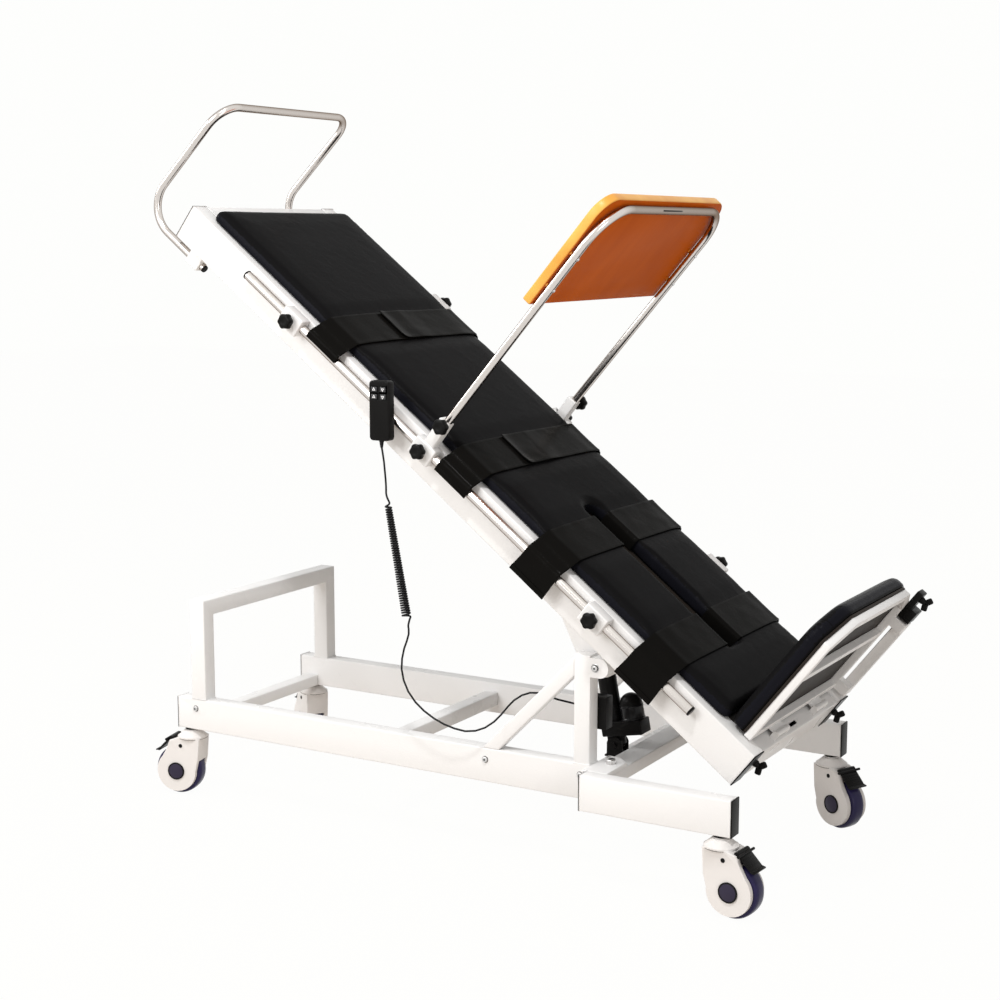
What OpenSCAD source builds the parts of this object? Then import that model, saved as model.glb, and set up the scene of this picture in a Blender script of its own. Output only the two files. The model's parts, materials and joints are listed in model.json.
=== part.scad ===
// Physiotherapy tilt table: a castored steel base, a padded table that tilts on two
// stub pivots near its foot end, straps, a tray on a tube frame, a head handle,
// a folding footplate and a handset on a curly cord.
// Lengths are in millimetres. +X runs from the head end to the foot end, +Z is up.

/* [Tilt] */
// Tilt of the table from level, in degrees
tilt_now = 37.89; // [0:0.01:60]
// Distance from the head end of the rails to the tilt pivot
pivot_x = 1200.9; // [1190:0.1:1215]
// Height of the tilt pivot above the floor
pivot_z = 480.1; // [470:0.1:520]
// Distance of the pivot from the head end of the table, along the table
pivot_along = 1494; // [1480:1:1510]
// Drop of the pivot below the top face of the table frame
pivot_drop = 124; // [120:0.5:160]

/* [Base] */
// Clearance between the table's hangers and the pivot posts
hanger_clear = 2.1; // [1:0.1:6]
// Width of each base tube
rail_w = 40; // [30:1:42]
// Height of each base tube
rail_h = 81; // [60:1:90]
// Wall thickness of the steel tubes
tube_wall = 2; // [1.5:0.1:3]
// Height of the underside of the rails above the floor
rail_under_z = 175.2; // [160:0.1:190]
// Distance that each front leg stands out past its rail
leg_out = 75.8; // [60:0.1:100]
// Head end of the front legs, from the head end of the rails
leg_start_x = 1202.6; // [1195:0.1:1210]
// Length of each front leg
leg_length = 357.8; // [300:0.1:420]
// Distance from the head end of the rails to the arch
arch_x = 45.5; // [40:0.5:120]
// Depth of the arch tube along the rails
arch_depth = 45; // [30:1:50]
// Width of the arch tube
arch_w = 40; // [30:1:40]
// Height of the top of the arch above the floor
arch_top_z = 512.6; // [400:0.1:512.8]
// Head face of the pivot posts
post_x = 1148; // [1140:1:1150]
// Width of the square pivot posts
post_w = 40; // [30:1:40]
// Height of the top of the pivot posts above the floor
post_top_z = 507; // [495:1:509]
// Width of the diagonal braces
brace_w = 30; // [20:1:30]
// Angle of the diagonal braces from level, in degrees
brace_angle = 45.6; // [42:0.1:50]
// Drop of the top of each brace below the top of its post
brace_top_drop = 8; // [2:1:20]

/* [Casters] */
// Diameter of the wheels
wheel_d = 125; // [110:1:130]
// Width of the wheel tread
wheel_w = 36; // [24:1:38]
// Horizontal trail from the swivel to the axle
caster_trail = 34; // [25:1:38]
// Diameter of the caster stems
stem_d = 12; // [10:0.5:14]
// Distance from the tube ends to the caster stems
stem_inset = 28; // [26:1:40]
// Width over the caster housing
housing_w = 62; // [58:1:66]

/* [Table frame] */
// Width over the table frame
table_w = 580.4; // [560:0.1:600]
// Length of the table frame
table_l = 1883; // [1870:1:1900]
// Depth of the side members
side_depth = 89.3; // [80:0.1:92]
// Width of the side members
side_w = 50; // [40:1:50]
// Diameter of the steel side rails
side_rail_d = 22; // [18:0.5:24]
// Gap between the frame side and the steel rail
side_rail_gap = 4.3; // [3.5:0.1:5]
// Depth of the side rail's centre below the top of the frame
side_rail_drop = 22; // [18:1:40]
// Start of the side rails, from the head end
side_rail_start = 240; // [200:1:300]
// Distance from the side rails to the foot end of the frame
side_rail_inset = 165; // [145:1:180]

/* [Mattress and straps] */
// Distance from the mattress's sides to the sides of the frame
pad_side_inset = 19.4; // [12:0.1:30]
// Thickness of the mattress at its edge
pad_edge_t = 27; // [22:1:34]
// Rise of the crown over the edge
pad_crown = 6; // [2:0.5:10]
// Head end of the mattress
pad_start = 45; // [40:1:60]
// Distance from the mattress to the foot end of the frame
pad_foot_inset = 99; // [97:1:110]
// Width of the slot between the legs
slot_w = 74; // [60:1:90]
// Distance from the slot to the foot end of the frame
slot_foot_inset = 236; // [190:1:238]
// Offset of the slot from the centreline, towards the near side
slot_offset = 14; // [0:1:20]
// Width of the straps
strap_w = 100; // [80:1:104]
// Thickness of the straps
strap_t = 2.6; // [2:0.1:3]

/* [Tray] */
// Diameter of the bent tubes of the tray and the head handle
bent_tube_d = 19; // [16:0.5:20]
// Distance of the tray posts from the head end
tray_along = 877; // [870:1:885]
// Lean of the tray towards the foot end, in degrees
tray_lean = 3; // [0:0.5:5]
// Height of the centre of the tray's top bar above the frame
tray_top = 692; // [600:1:720]
// Bend radius of the tray tube
tray_bend = 95; // [70:1:110]
// Overhang of the tray board past the centres of its tubes
board_over = 10.5; // [8:0.5:30]
// Height of the tray board
board_h = 297; // [250:1:310]
// Thickness of the tray board
board_t = 22; // [16:1:26]
// Radius of the board's two outer corners
board_corner = 55; // [20:1:70]

/* [Head handle] */
// Distance from the handle's legs to the sides of the frame
handle_inset = 23.2; // [18:0.1:32]
// Depth of the handle's legs below the frame top
handle_drop = 113; // [108:1:118]
// Height of the handle's top bar above the frame top
handle_top = 235; // [200:1:260]
// Distance that the handle stands out past the head end
handle_reach = 121; // [110:1:140]
// Lean of the handle towards the foot end, in degrees
handle_lean = 8; // [0:0.5:10]
// Bend radius at the foot of the handle
handle_bend = 78; // [60:1:85]
// Bend radius at the top corners of the handle
handle_corner = 64; // [50:1:80]

/* [Footplate] */
// Distance from the face of the foot pad to the foot end of the frame
foot_pad_inset = 94; // [91:1:95]
// Distance from the foot pad's sides to the sides of the frame
foot_side_inset = 20.2; // [18:0.1:40]
// Height of the foot pad above the frame
foot_h = 342; // [300:1:360]
// Thickness of the foot pad
foot_pad_t = 37; // [28:1:37]
// Cut of the top corners, across
foot_cut_w = 88; // [60:1:120]
// Cut of the top corners, down
foot_cut_h = 48; // [30:1:70]
// Size of the footplate's square tube
foot_tube = 18; // [14:1:18]

/* [Handset] */
// Width of the handset
handset_w = 54; // [45:1:56]
// Height of the handset
handset_h = 138; // [120:1:140]
// Thickness of the handset
handset_t = 25; // [20:1:26]

/* [Hidden] */

// Faces of round parts
fine = 48;
// Running clearance on the radius of pins, stems and bores
run_gap = 0.05;
// Clearance between soft parts and their neighbours
soft_gap = 0.3;
// Overrun of every cut
cut = 1;
// Overlap of parts that are one piece
sunk = 1;

// Colours of the finishes
white_coat = "whitesmoke";
black_plastic = "black";
steel = "silver";
wood_colour = "darkorange";

// The part's origin stands under the middle of its box
frame_origin_x = 859.06;
frame_origin_y = 1.3;

// Derived places of the base
table_half = table_w / 2;
side_inner = table_half - side_w;
rail_half = side_inner + hanger_clear + rail_w;
rail_top_z = rail_under_z + rail_h;
leg_half = rail_half + leg_out;
leg_inner = leg_half - rail_w;
leg_end_x = leg_start_x + leg_length;
rail_end_x = post_x + post_w;
cap_plate = 3;
cap_plug = 14;
cap_gap = 0.3;
head_member_x = 17;
head_member_w = 40;
head_member_h = 30;
mid_member_x = 604;
mid_member_w = 40;
mid_member_rise = 22;
mid_member_z = rail_under_z + mid_member_rise;
mid_member_h = 35;
beam_w = 58;
beam_z = 214;
beam_h = 30;
plate_t = rail_top_z - beam_z - beam_h;
plate_w = 62;
plate_reach = 94.3;
plate_inner = rail_half - plate_reach;
plate_cut = 22;
drive_tube_x = 1128;
drive_tube_w = 40;
bearing_out_x = 1233;
bearing_half_h = 22;
pivot_pin_d = 20;
bolt_head_d = 13;
bolt_head_t = 5;
bolt_shank_d = 8;
bolt_shank_l = 10;
hex_head_d = 24;
hex_head_t = 11;
bolt_places = [[58, 231], [918, 229], [1165, 231]];
hex_bolt_x = 1223.6;
hex_bolt_in = 36.3;
hex_bolt_y = rail_half - hex_bolt_in;

// Derived places of the table
hanger_t = 18;
hanger_boss_r = 30;
// Outline of the hangers from the pivot: towards the head, the foot and the deck
hanger_head_l = 164;
hanger_heel_l = 65;
hanger_foot_l = 66;
hanger_rise = 66;
hanger_toe = 18;
hanger_heel = 30;
hanger_shoulder = 34;
hanger_near_y = side_inner;
side_rail_y = table_half + side_rail_gap + side_rail_d / 2;
side_rail_end = table_l - side_rail_inset;
block_l = 62;
block_w = 33;
block_out = table_half + block_w;
block_drop = 46;
// Places of the head and the foot blocks, as shares of the frame's length
block_shares = [0.21774, 0.75996];
// Set of the tray's sockets towards the foot end, from their blocks
socket_set = 3;
block_places = [table_l * block_shares[0], tray_along - socket_set, table_l * block_shares[1]];
// The far blocks stand higher and carry their knobs above the rail
far_block_rise = 13;
far_knob_n = 1;
tray_half = side_rail_y;
socket_w = 28;
socket_h = 70;
socket_floor = 8;
tray_knob_set = 8;
tray_knob_s = tray_along + tray_knob_set;
tray_knob_n = 61;
knob_r = 15;
knob_lobe_r = 6;
knob_lobes = 6;
knob_t = 20;
knob_neck_r = 9;
knob_neck_l = 6;
knob_stud_r = 4;
knob_stud_l = 8;
block_stud_l = 6.4;
end_member_w = 40;
// Places of the two plain cross members, as shares of the frame's length
cross_shares = [0.23367, 0.46734];
deck_t = 12;
foot_member_low = 88;
foot_member_top = 7;
foot_slot_inset = 17;
foot_slot_s = table_l - foot_slot_inset;
foot_slot_y = -40;
foot_slot_w = 9;
foot_slot_l = 70;
wing_near_in = 18.2;
wing_low_near_y = wing_near_in - side_inner;
wing_far_in = 26.2;
wing_low_far_y = table_half - wing_far_in;
wing_low_n = -44;

// Mattress places
pad_half = table_half - pad_side_inset;
pad_end = table_l - pad_foot_inset;
pad_corner = 22;
pad_floor = soft_gap;
slot_start_share = 0.62241;
slot_start = table_l * slot_start_share;
slot_end = table_l - slot_foot_inset;

// Strap places, as shares of the frame's length: chest, hip, knee and ankle
strap_shares = [0.27403, 0.51726, 0.67021, 0.84652];
chest_strap_s = table_l * strap_shares[0];
hip_strap_s = table_l * strap_shares[1];
knee_strap_s = table_l * strap_shares[2];
ankle_strap_s = table_l * strap_shares[3];
// Drop of the straps' tails below the top of the frame: chest, hip and legs
chest_tail = 21;
hip_tail = 34;
leg_tail = 72;
chest_flap_y = -72;
hip_flap_y = -100;

// Drive places: the actuator stands off the centreline, on the near side
drive_y = -60;
drive_base_x = drive_tube_x + drive_tube_w / 2;
drive_base_z = 245;
drive_top_set = 195;
drive_top_s = pivot_along - drive_top_set;
drive_top_drop = 81;
drive_pin_d = 12;
drive_eye_w = 26;
drive_eye_r = 14;
drive_tube_d = 44;
drive_tube_l = 226;
drive_bore_d = 30;
drive_rod_d = 20;
drive_rod_l = 205;
drive_motor_r = 27;
drive_motor_x = 52;
drive_motor_start = 50;
drive_motor_z = 92;
drive_neck_h = 24;
drive_case_start = 22;
drive_case_h = 34;
drive_case_w = 52;
drive_case_back = 24;
drive_case_l = 104;
drive_bore_start = 60;
ear_t = 5;

box_x = 1154;
box_l = 54;
box_z = 330;
box_h = 74;
box_w = 34;

// Handset places
handset_set = 128.1;
handset_hang = 57.3;
handset_gap = 17.5;
handset_y = -side_rail_y - handset_gap - handset_t / 2;
handset_corner = 9;
hook_w = 24;
hook_t = 3;
hook_h = 16;
// The hook's opening towards the table, as a share of the rail's diameter
hook_open_share = 0.2;
button_w = 15;
button_h = 11;
button_t = 3;
button_travel = 1.5;
button_half_pitch = 12;
button_top_drop = 20;
button_low_drop = 37;
button_room = 0.5;
button_root = 0.4;

// Cord: the lead and the tail follow points chosen by hand, and the curly stretch between
// them is one fat tube of its outer diameter
cord_d = 5;
curly_d = 23;
cord_sides = 8;
curly_sides = 12;
curl_top = [687, -338, 840];
curl_low = [746, -338, 528];
lead_points = [
  [676, -338, 960.6], [676, -338, 946], [679, -338, 930], [682, -338, 912],
  [684, -338, 892], [686, -338, 872], [687, -338, 856], [687, -338, 840.4]];
tail_points = [
  [746, -338, 527.6], [746, -338, 516], [741, -338, 500], [733, -338, 480],
  [727, -338, 455], [725, -337, 430], [729, -335, 404], [740, -333, 378],
  [758, -330, 354], [780, -328, 336], [806, -326, 321], [832, -323, 310],
  [858, -320, 303], [884, -315, 299], [908, -309, 302], [928, -300, 310],
  [946, -290, 324], [960, -281, 341], [972, -272, 359], [984, -264, 374],
  [1000, -256, 386], [1018, -250, 393], [1038, -245, 394], [1060, -240, 388],
  [1082, -234, 382], [1106, -228, 378], [1128, -223, 374], [1145, -222, 374]];

// Origin of the table: the middle of the top edge of its head end
function turned(v) = [
  v[0] * cos(tilt_now) + v[2] * sin(tilt_now), v[1],
  -v[0] * sin(tilt_now) + v[2] * cos(tilt_now)];
table_origin = [pivot_x, 0, pivot_z] - turned([pivot_along, 0, -pivot_drop]);
drive_top = table_origin + turned([drive_top_s, 0, -drive_top_drop]);
drive_angle = atan2(drive_top[0] - drive_base_x, drive_top[2] - drive_base_z);
drive_length = norm([drive_top[0] - drive_base_x, drive_top[2] - drive_base_z]);

// Place of the handset on the near rail, and its place in the base's frame
rail_at_handset = tray_along - handset_set;
handset_rail = table_origin + turned([rail_at_handset, 0, -side_rail_drop]);
handset_x = handset_rail[0];
handset_low_z = handset_rail[2] - handset_hang;

// Puts the children, drawn from the head end of the rails, into the part's frame
module placed() {
  translate([-frame_origin_x, -frame_origin_y, 0]) children();
}

// Puts children drawn along, across and square to the table into the part's frame
module on_table() {
  placed() translate(table_origin) rotate([0, tilt_now, 0]) children();
}

// A box given by its low corner and size
module block(low, size) {
  translate(low) cube(size);
}

// A square tube along X, open at both ends
module tube_x(low, size, wall = tube_wall) {
  difference() {
    block(low, size);
    block(low + [-cut, wall, wall], size + [2 * cut, -2 * wall, -2 * wall]);
  }
}

// A square tube along Y, open at both ends
module tube_y(low, size, wall = tube_wall) {
  difference() {
    block(low, size);
    block(low + [wall, -cut, wall], size + [-2 * wall, 2 * cut, -2 * wall]);
  }
}

// A square tube along Z, open at both ends
module tube_z(low, size, wall = tube_wall) {
  difference() {
    block(low, size);
    block(low + [wall, wall, -cut], size + [-2 * wall, -2 * wall, 2 * cut]);
  }
}

// A rod along Y between two places
module rod_y(centre, r, y0, y1) {
  translate([centre[0], y0, centre[1]]) rotate([-90, 0, 0]) cylinder(r = r, h = y1 - y0, $fn = fine);
}

// Children, and their mirror image across the centreline
module both_sides() {
  children();
  mirror([0, 1, 0]) children();
}

// A round tube that runs and bends: each step is [length] or [bend radius, angle, roll]
module bent_tube(r, steps, i = 0) {
  if (i < len(steps)) {
    step = steps[i];
    if (len(step) == 1) {
      rotate([0, 90, 0]) difference() {
        cylinder(r = r, h = step[0], $fn = fine);
        translate([0, 0, -cut]) cylinder(r = r - tube_wall, h = step[0] + 2 * cut, $fn = fine);
      }
      translate([step[0], 0, 0]) bent_tube(r, steps, i + 1);
    } else {
      rotate([step[2], 0, 0]) {
        translate([0, step[0], 0]) rotate([0, 0, -90]) rotate_extrude(angle = step[1], $fn = fine)
          translate([step[0], 0]) difference() {
            circle(r = r, $fn = fine);
            circle(r = r - tube_wall, $fn = fine);
          }
        translate([0, step[0], 0]) rotate([0, 0, step[1]]) translate([0, -step[0], 0])
          bent_tube(r, steps, i + 1);
      }
    }
  }
}

// Tube swept through rings of points, closed at both ends
ring_start = [0.3, 1, 0.1];
function ring_at(centre, along, r, sides) =
  let (t = along / norm(along), side = cross(t, ring_start), u = side / norm(side), w = cross(t, u))
  [for (k = [0 : sides - 1]) centre + r * (cos(360 * k / sides) * u + sin(360 * k / sides) * w)];

module swept(points, r, sides) {
  last = len(points) - 1;
  rings = [for (i = [0 : last]) ring_at(points[i],
    points[min(i + 1, last)] - points[max(i - 1, 0)], r, sides)];
  corners = [for (ring = rings) for (p = ring) p];
  walls = [for (i = [0 : last - 1]) for (k = [0 : sides - 1]) for (half = [0, 1])
    let (a = i * sides + k, b = i * sides + (k + 1) % sides)
    half == 0 ? [a, b, a + sides] : [b, b + sides, a + sides]];
  caps = [for (k = [1 : sides - 2]) each [[0, k + 1, k], [last * sides, last * sides + k, last * sides + k + 1]]];
  polyhedron(points = corners, faces = concat(walls, caps), convexity = 4);
}

// Base

module main_rails() {
  color(white_coat) placed() both_sides() difference() {
    tube_x([0, -rail_half, rail_under_z], [rail_end_x, rail_w, rail_h]);
    translate([stem_inset, -rail_half + rail_w / 2, rail_under_z - cut])
      cylinder(r = stem_d / 2 + run_gap, h = tube_wall + 2 * cut, $fn = fine);
    for (p = bolt_places)
      rod_y(p, bolt_shank_d / 2 + cap_gap, -rail_half - cut, -rail_half + tube_wall + cut);
  }
}

module cross_members() {
  inner = rail_half - rail_w;
  color(white_coat) placed() {
    tube_y([head_member_x, -inner, rail_under_z], [head_member_w, 2 * inner, head_member_h]);
    tube_y([mid_member_x, -inner, mid_member_z], [mid_member_w, 2 * inner, mid_member_h]);
    tube_y([drive_tube_x, -inner, rail_under_z], [drive_tube_w, 2 * inner, drive_tube_w]);
    foot_crossbeam();
  }
}

// Beam across the foot end of the rails, with the two plates that carry its hex bolts
module foot_crossbeam() {
  top_z = beam_z + beam_h;
  difference() {
    union() {
      tube_y([rail_end_x, -leg_inner, beam_z], [beam_w, 2 * leg_inner, beam_h]);
      both_sides() difference() {
        block([rail_end_x, -leg_inner, top_z], [plate_w, leg_inner - plate_inner, plate_t]);
        translate([rail_end_x + plate_w, -plate_inner, top_z - cut]) rotate([0, 0, 45])
          block([-plate_cut, -plate_cut, 0], [2 * plate_cut, 2 * plate_cut, plate_t + 2 * cut]);
      }
    }
    both_sides() translate([hex_bolt_x, -hex_bolt_y, top_z - tube_wall - cut])
      cylinder(r = bolt_shank_d / 2 + cap_gap, h = plate_t + tube_wall + 2 * cut, $fn = fine);
  }
}

module front_legs() {
  color(white_coat) placed() both_sides() difference() {
    tube_x([leg_start_x, -leg_half, rail_under_z], [leg_length, rail_w, rail_h]);
    translate([leg_end_x - stem_inset, -leg_half + rail_w / 2, rail_under_z - cut])
      cylinder(r = stem_d / 2 + run_gap, h = tube_wall + 2 * cut, $fn = fine);
  }
}

module pivot_posts() {
  color(white_coat) placed() both_sides() difference() {
    union() {
      tube_z([post_x, -rail_half, rail_top_z], [post_w, rail_w, post_top_z - rail_top_z]);
      block([post_x, -rail_half, post_top_z - tube_wall], [post_w, rail_w, tube_wall]);
      block([rail_end_x, -rail_half, pivot_z - bearing_half_h],
        [bearing_out_x - bearing_half_h - rail_end_x, rail_w, 2 * bearing_half_h]);
      rod_y([bearing_out_x - bearing_half_h, pivot_z], bearing_half_h, -rail_half, -rail_half + rail_w);
    }
    rod_y([pivot_x, pivot_z], pivot_pin_d / 2 + run_gap, -rail_half - cut, -rail_half + rail_w + cut);
  }
}

// Length of the brace's slanted outline below the post
brace_rise = brace_w / cos(brace_angle);
brace_high_z = post_top_z - brace_top_drop;

module diagonal_braces() {
  low_z = rail_top_z;
  run_top = (brace_high_z - low_z) / tan(brace_angle);
  run_low = (brace_high_z - brace_rise - low_z) / tan(brace_angle);
  color(white_coat) placed() both_sides() translate([0, -rail_half + brace_w, 0]) rotate([90, 0, 0])
    linear_extrude(brace_w) polygon([
      [post_x, brace_high_z], [post_x - run_top, low_z], [post_x - run_low, low_z],
      [post_x, brace_high_z - brace_rise]]);
}

module head_arch() {
  color(white_coat) placed() {
    both_sides() tube_z([arch_x, -rail_half, rail_top_z], [arch_depth, arch_w, arch_top_z - arch_w - rail_top_z]);
    tube_y([arch_x, -rail_half, arch_top_z - arch_w], [arch_depth, 2 * rail_half, arch_w]);
    both_sides() block([arch_x, -rail_half, arch_top_z - arch_w], [arch_depth, tube_wall, arch_w]);
  }
}

module rail_end_caps() {
  plug = tube_wall + cap_gap;
  color(black_plastic) placed() both_sides() {
    block([-cap_plate, -rail_half, rail_under_z], [cap_plate, rail_w, rail_h]);
    block([0, -rail_half + plug, rail_under_z + plug], [cap_plug, rail_w - 2 * plug, rail_h - 2 * plug]);
    block([leg_end_x, -leg_half, rail_under_z], [cap_plate, rail_w, rail_h]);
    block([leg_end_x - cap_plug, -leg_half + plug, rail_under_z + plug],
      [cap_plug, rail_w - 2 * plug, rail_h - 2 * plug]);
    block([leg_start_x - cap_plate, -leg_half, rail_under_z], [cap_plate, rail_w - cap_gap, rail_h]);
  }
}

// Domed bolts through the rail walls, hex bolts in the plates and the two pivot bolts
module frame_bolts() {
  color(steel) placed() both_sides() {
    for (p = bolt_places) {
      rod_y(p, bolt_head_d / 2, -rail_half - bolt_head_t, -rail_half);
      rod_y(p, bolt_shank_d / 2, -rail_half, -rail_half + bolt_shank_l);
    }
    translate([hex_bolt_x, -hex_bolt_y, rail_top_z]) cylinder(r = hex_head_d / 2, h = hex_head_t, $fn = 6);
    translate([hex_bolt_x, -hex_bolt_y, rail_top_z - plate_t - tube_wall])
      cylinder(r = bolt_shank_d / 2, h = plate_t + tube_wall, $fn = fine);
    rod_y([pivot_x, pivot_z], bolt_head_d / 2, -rail_half - bolt_head_t, -rail_half + sunk);
    rod_y([pivot_x, pivot_z], pivot_pin_d / 2, -rail_half + sunk / 2, -hanger_near_y + hanger_t);
  }
}

module actuator_bracket() {
  foot_z = rail_under_z + drive_tube_w;
  ear_in = drive_eye_w / 2 + cap_gap;
  color(black_plastic) placed() {
    difference() {
      union() {
        block([drive_tube_x - ear_t, drive_y - ear_in - ear_t, foot_z],
          [drive_tube_w + 2 * ear_t, 2 * (ear_in + ear_t), ear_t]);
        for (side = [-1, 1]) {
          y = drive_y + (side < 0 ? -ear_in - ear_t : ear_in);
          block([drive_tube_x, y, foot_z], [drive_tube_w, ear_t, drive_base_z - foot_z]);
          rod_y([drive_base_x, drive_base_z], drive_tube_w / 2, y, y + ear_t);
        }
      }
      rod_y([drive_base_x, drive_base_z], drive_pin_d / 2 + run_gap,
        drive_y - ear_in - ear_t - cut, drive_y + ear_in + ear_t + cut);
    }
    rod_y([drive_base_x, drive_base_z], drive_pin_d / 2,
      drive_y - ear_in - ear_t - bolt_head_t, drive_y + ear_in + ear_t + bolt_head_t);
  }
}

// Control box on the inner face of the near post, with the cord's gland
module control_box() {
  y0 = -rail_half + rail_w;
  gland = tail_points[len(tail_points) - 1] + [2 * soft_gap, 0, 0];
  color(black_plastic) placed() {
    block([box_x, y0, box_z], [box_l, box_w, box_h]);
    translate(gland) rotate([0, 90, 0]) cylinder(r = cord_d, h = box_x - gland[0], $fn = fine);
  }
}

// Casters: drawn about the swivel, with the trail along +X, then turned and placed
wheel_r = wheel_d / 2;
cheek_r = 53;
cheek_gap = 2;
cheek_in = wheel_w / 2 + cheek_gap;
tread_gap = 3;
hood_r = 38;
// Height of the hood, and its outline from the swivel and the floor, as shares of the wheel's radius
hood_share = 2.4;
hood_z = wheel_r * hood_share;
hood_shares = [[-0.496, 2.4], [-0.432, 1.48], [-0.304, 1], [0.544, 1], [1.344, 1.256],
  [0.96, 1.936], [0.832, 2.288], [0.496, 2.4]];
rim_h = 5;
rim_drop = 2;
rim_set = 1;
dome_h = 14;
dome_top_r = 21;
collar_r = 15;
stem_up = 22;
axle_r = 6;
hubcap_r = 22.5;
hubcap_t = 2.5;
// Place of the pedal's pin and the pedal's outline, as shares of the wheel's radius
pedal_pin_shares = [0.768, 2.16];
pedal_shares = [[0.688, 2.304], [0.928, 2.336], [0.992, 2.384], [1.216, 2.064],
  [1.264, 1.968], [1.12, 2.016], [0.864, 2.048], [0.688, 2.032]];
pedal_pin = wheel_r * pedal_pin_shares;
pedal_pin_r = 4;
pedal_pin_over = 5;
pedal_w = 34;
pedal_gap = 1;
pedal_room_back = 8;
pedal_room_low = 12;
pedal_room = 40;

caster_places = [
  [stem_inset, -rail_half + rail_w / 2, 194],
  [stem_inset, rail_half - rail_w / 2, 146],
  [leg_end_x - stem_inset, -leg_half + rail_w / 2, -5],
  [leg_end_x - stem_inset, leg_half - rail_w / 2, -25]];

module at_caster(i) {
  p = caster_places[i];
  placed() translate([p[0], p[1], 0]) rotate([0, 0, p[2]]) children();
}

module caster_fork(i) {
  color("ivory") at_caster(i) difference() {
    union() {
      rod_y([caster_trail, wheel_r], cheek_r, -housing_w / 2, housing_w / 2);
      translate([0, housing_w / 2, 0]) rotate([90, 0, 0]) linear_extrude(housing_w)
        polygon(wheel_r * hood_shares);
      translate([0, 0, hood_z - rim_drop]) cylinder(r = hood_r, h = rim_h, $fn = fine);
      translate([0, 0, hood_z + rim_h - rim_drop])
        cylinder(r1 = hood_r - rim_set, r2 = dome_top_r, h = dome_h, $fn = fine);
      cylinder(r = collar_r, h = rail_under_z - cap_gap, $fn = fine);
      cylinder(r = stem_d / 2, h = rail_under_z + stem_up, $fn = fine);
    }
    rod_y([caster_trail, wheel_r], wheel_r + tread_gap, -cheek_in, cheek_in);
    block([-wheel_d, -cheek_in, -cut], [3 * wheel_d, 2 * cheek_in, wheel_r + cut]);
    rod_y([caster_trail, wheel_r], axle_r + run_gap, -housing_w, housing_w);
    block([pedal_pin[0] - pedal_room_back, -pedal_w / 2 - pedal_gap, pedal_pin[1] - pedal_room_low],
      [pedal_room, pedal_w + 2 * pedal_gap, pedal_room]);
    rod_y(pedal_pin, pedal_pin_r + run_gap, -pedal_w / 2 - pedal_pin_over - pedal_gap,
      pedal_w / 2 + pedal_pin_over + pedal_gap);
  }
}

module caster_wheel(i) {
  color("midnightblue") at_caster(i) {
    rod_y([caster_trail, wheel_r], wheel_r, -wheel_w / 2, wheel_w / 2);
    rod_y([caster_trail, wheel_r], axle_r, -housing_w / 2 - cap_gap, housing_w / 2 + cap_gap);
    for (side = [-1, 1]) {
      y = side < 0 ? -housing_w / 2 - cap_gap - hubcap_t : housing_w / 2 + cap_gap;
      rod_y([caster_trail, wheel_r], hubcap_r, y, y + hubcap_t);
    }
  }
}

module caster_pedal(i) {
  color(black_plastic) at_caster(i) {
    rod_y(pedal_pin, pedal_pin_r, -pedal_w / 2 - pedal_pin_over, pedal_w / 2 + pedal_pin_over);
    translate([0, pedal_w / 2, 0]) rotate([90, 0, 0]) linear_extrude(pedal_w)
      polygon(wheel_r * pedal_shares);
  }
}

// Table frame

module side_members() {
  color(white_coat) on_table() both_sides()
    tube_x([0, -table_half, -side_depth], [table_l, side_w, side_depth]);
}

// Cross tubes between the side members, with the ears that take the actuator's rod
module table_cross_members() {
  ear_in = drive_eye_w / 2 + cap_gap;
  ear_top = -deck_t - end_member_w;
  color(white_coat) on_table() {
    tube_y([0, -side_inner, -end_member_w - deck_t], [end_member_w, 2 * side_inner, end_member_w + deck_t]);
    for (share = cross_shares)
      tube_y([table_l * share, -side_inner, -end_member_w - deck_t], [end_member_w, 2 * side_inner, end_member_w]);
    difference() {
      tube_y([table_l - end_member_w, -side_inner, -foot_member_low], [end_member_w, 2 * side_inner,
        foot_member_low - foot_member_top]);
      block([foot_slot_s - foot_slot_w / 2, foot_slot_y - foot_slot_l / 2, -foot_member_top - tube_wall - cut],
        [foot_slot_w, foot_slot_l, tube_wall + 2 * cut]);
      translate([table_l - tube_wall - cut, wing_low_near_y, wing_low_n]) rotate([0, 90, 0])
        cylinder(r = knob_stud_r + run_gap, h = tube_wall + 2 * cut, $fn = fine);
    }
    // Lugs and pins of the footplate's two hinges
    for (y = knuckle_places) {
      for (side = [y - cap_gap - ear_t, y + knuckle_l + cap_gap]) {
        block([foot_hinge_s - knuckle_r, side, -foot_member_top], [2 * knuckle_r, ear_t,
          foot_member_top + foot_hinge_n]);
        rod_y([foot_hinge_s, foot_hinge_n], knuckle_r, side, side + ear_t);
      }
      rod_y([foot_hinge_s, foot_hinge_n], hinge_pin_r, y - ear_t, y + knuckle_l + ear_t);
    }
    difference() {
      union() {
        tube_y([drive_top_s - end_member_w / 2, -side_inner, -end_member_w - deck_t],
          [end_member_w, 2 * side_inner, end_member_w]);
        for (side = [-1, 1]) {
          y = drive_y + (side < 0 ? -ear_in - ear_t : ear_in);
          block([drive_top_s - drive_eye_r, y, -drive_top_drop],
            [2 * drive_eye_r, ear_t, drive_top_drop + ear_top]);
          rod_y([drive_top_s, -drive_top_drop], drive_eye_r, y, y + ear_t);
        }
      }
      rod_y([drive_top_s, -drive_top_drop], drive_pin_d / 2 + run_gap,
        drive_y - ear_in - ear_t - cut, drive_y + ear_in + ear_t + cut);
    }
    rod_y([drive_top_s, -drive_top_drop], drive_pin_d / 2,
      drive_y - ear_in - ear_t - bolt_head_t, drive_y + ear_in + ear_t + bolt_head_t);
  }
}

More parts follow.
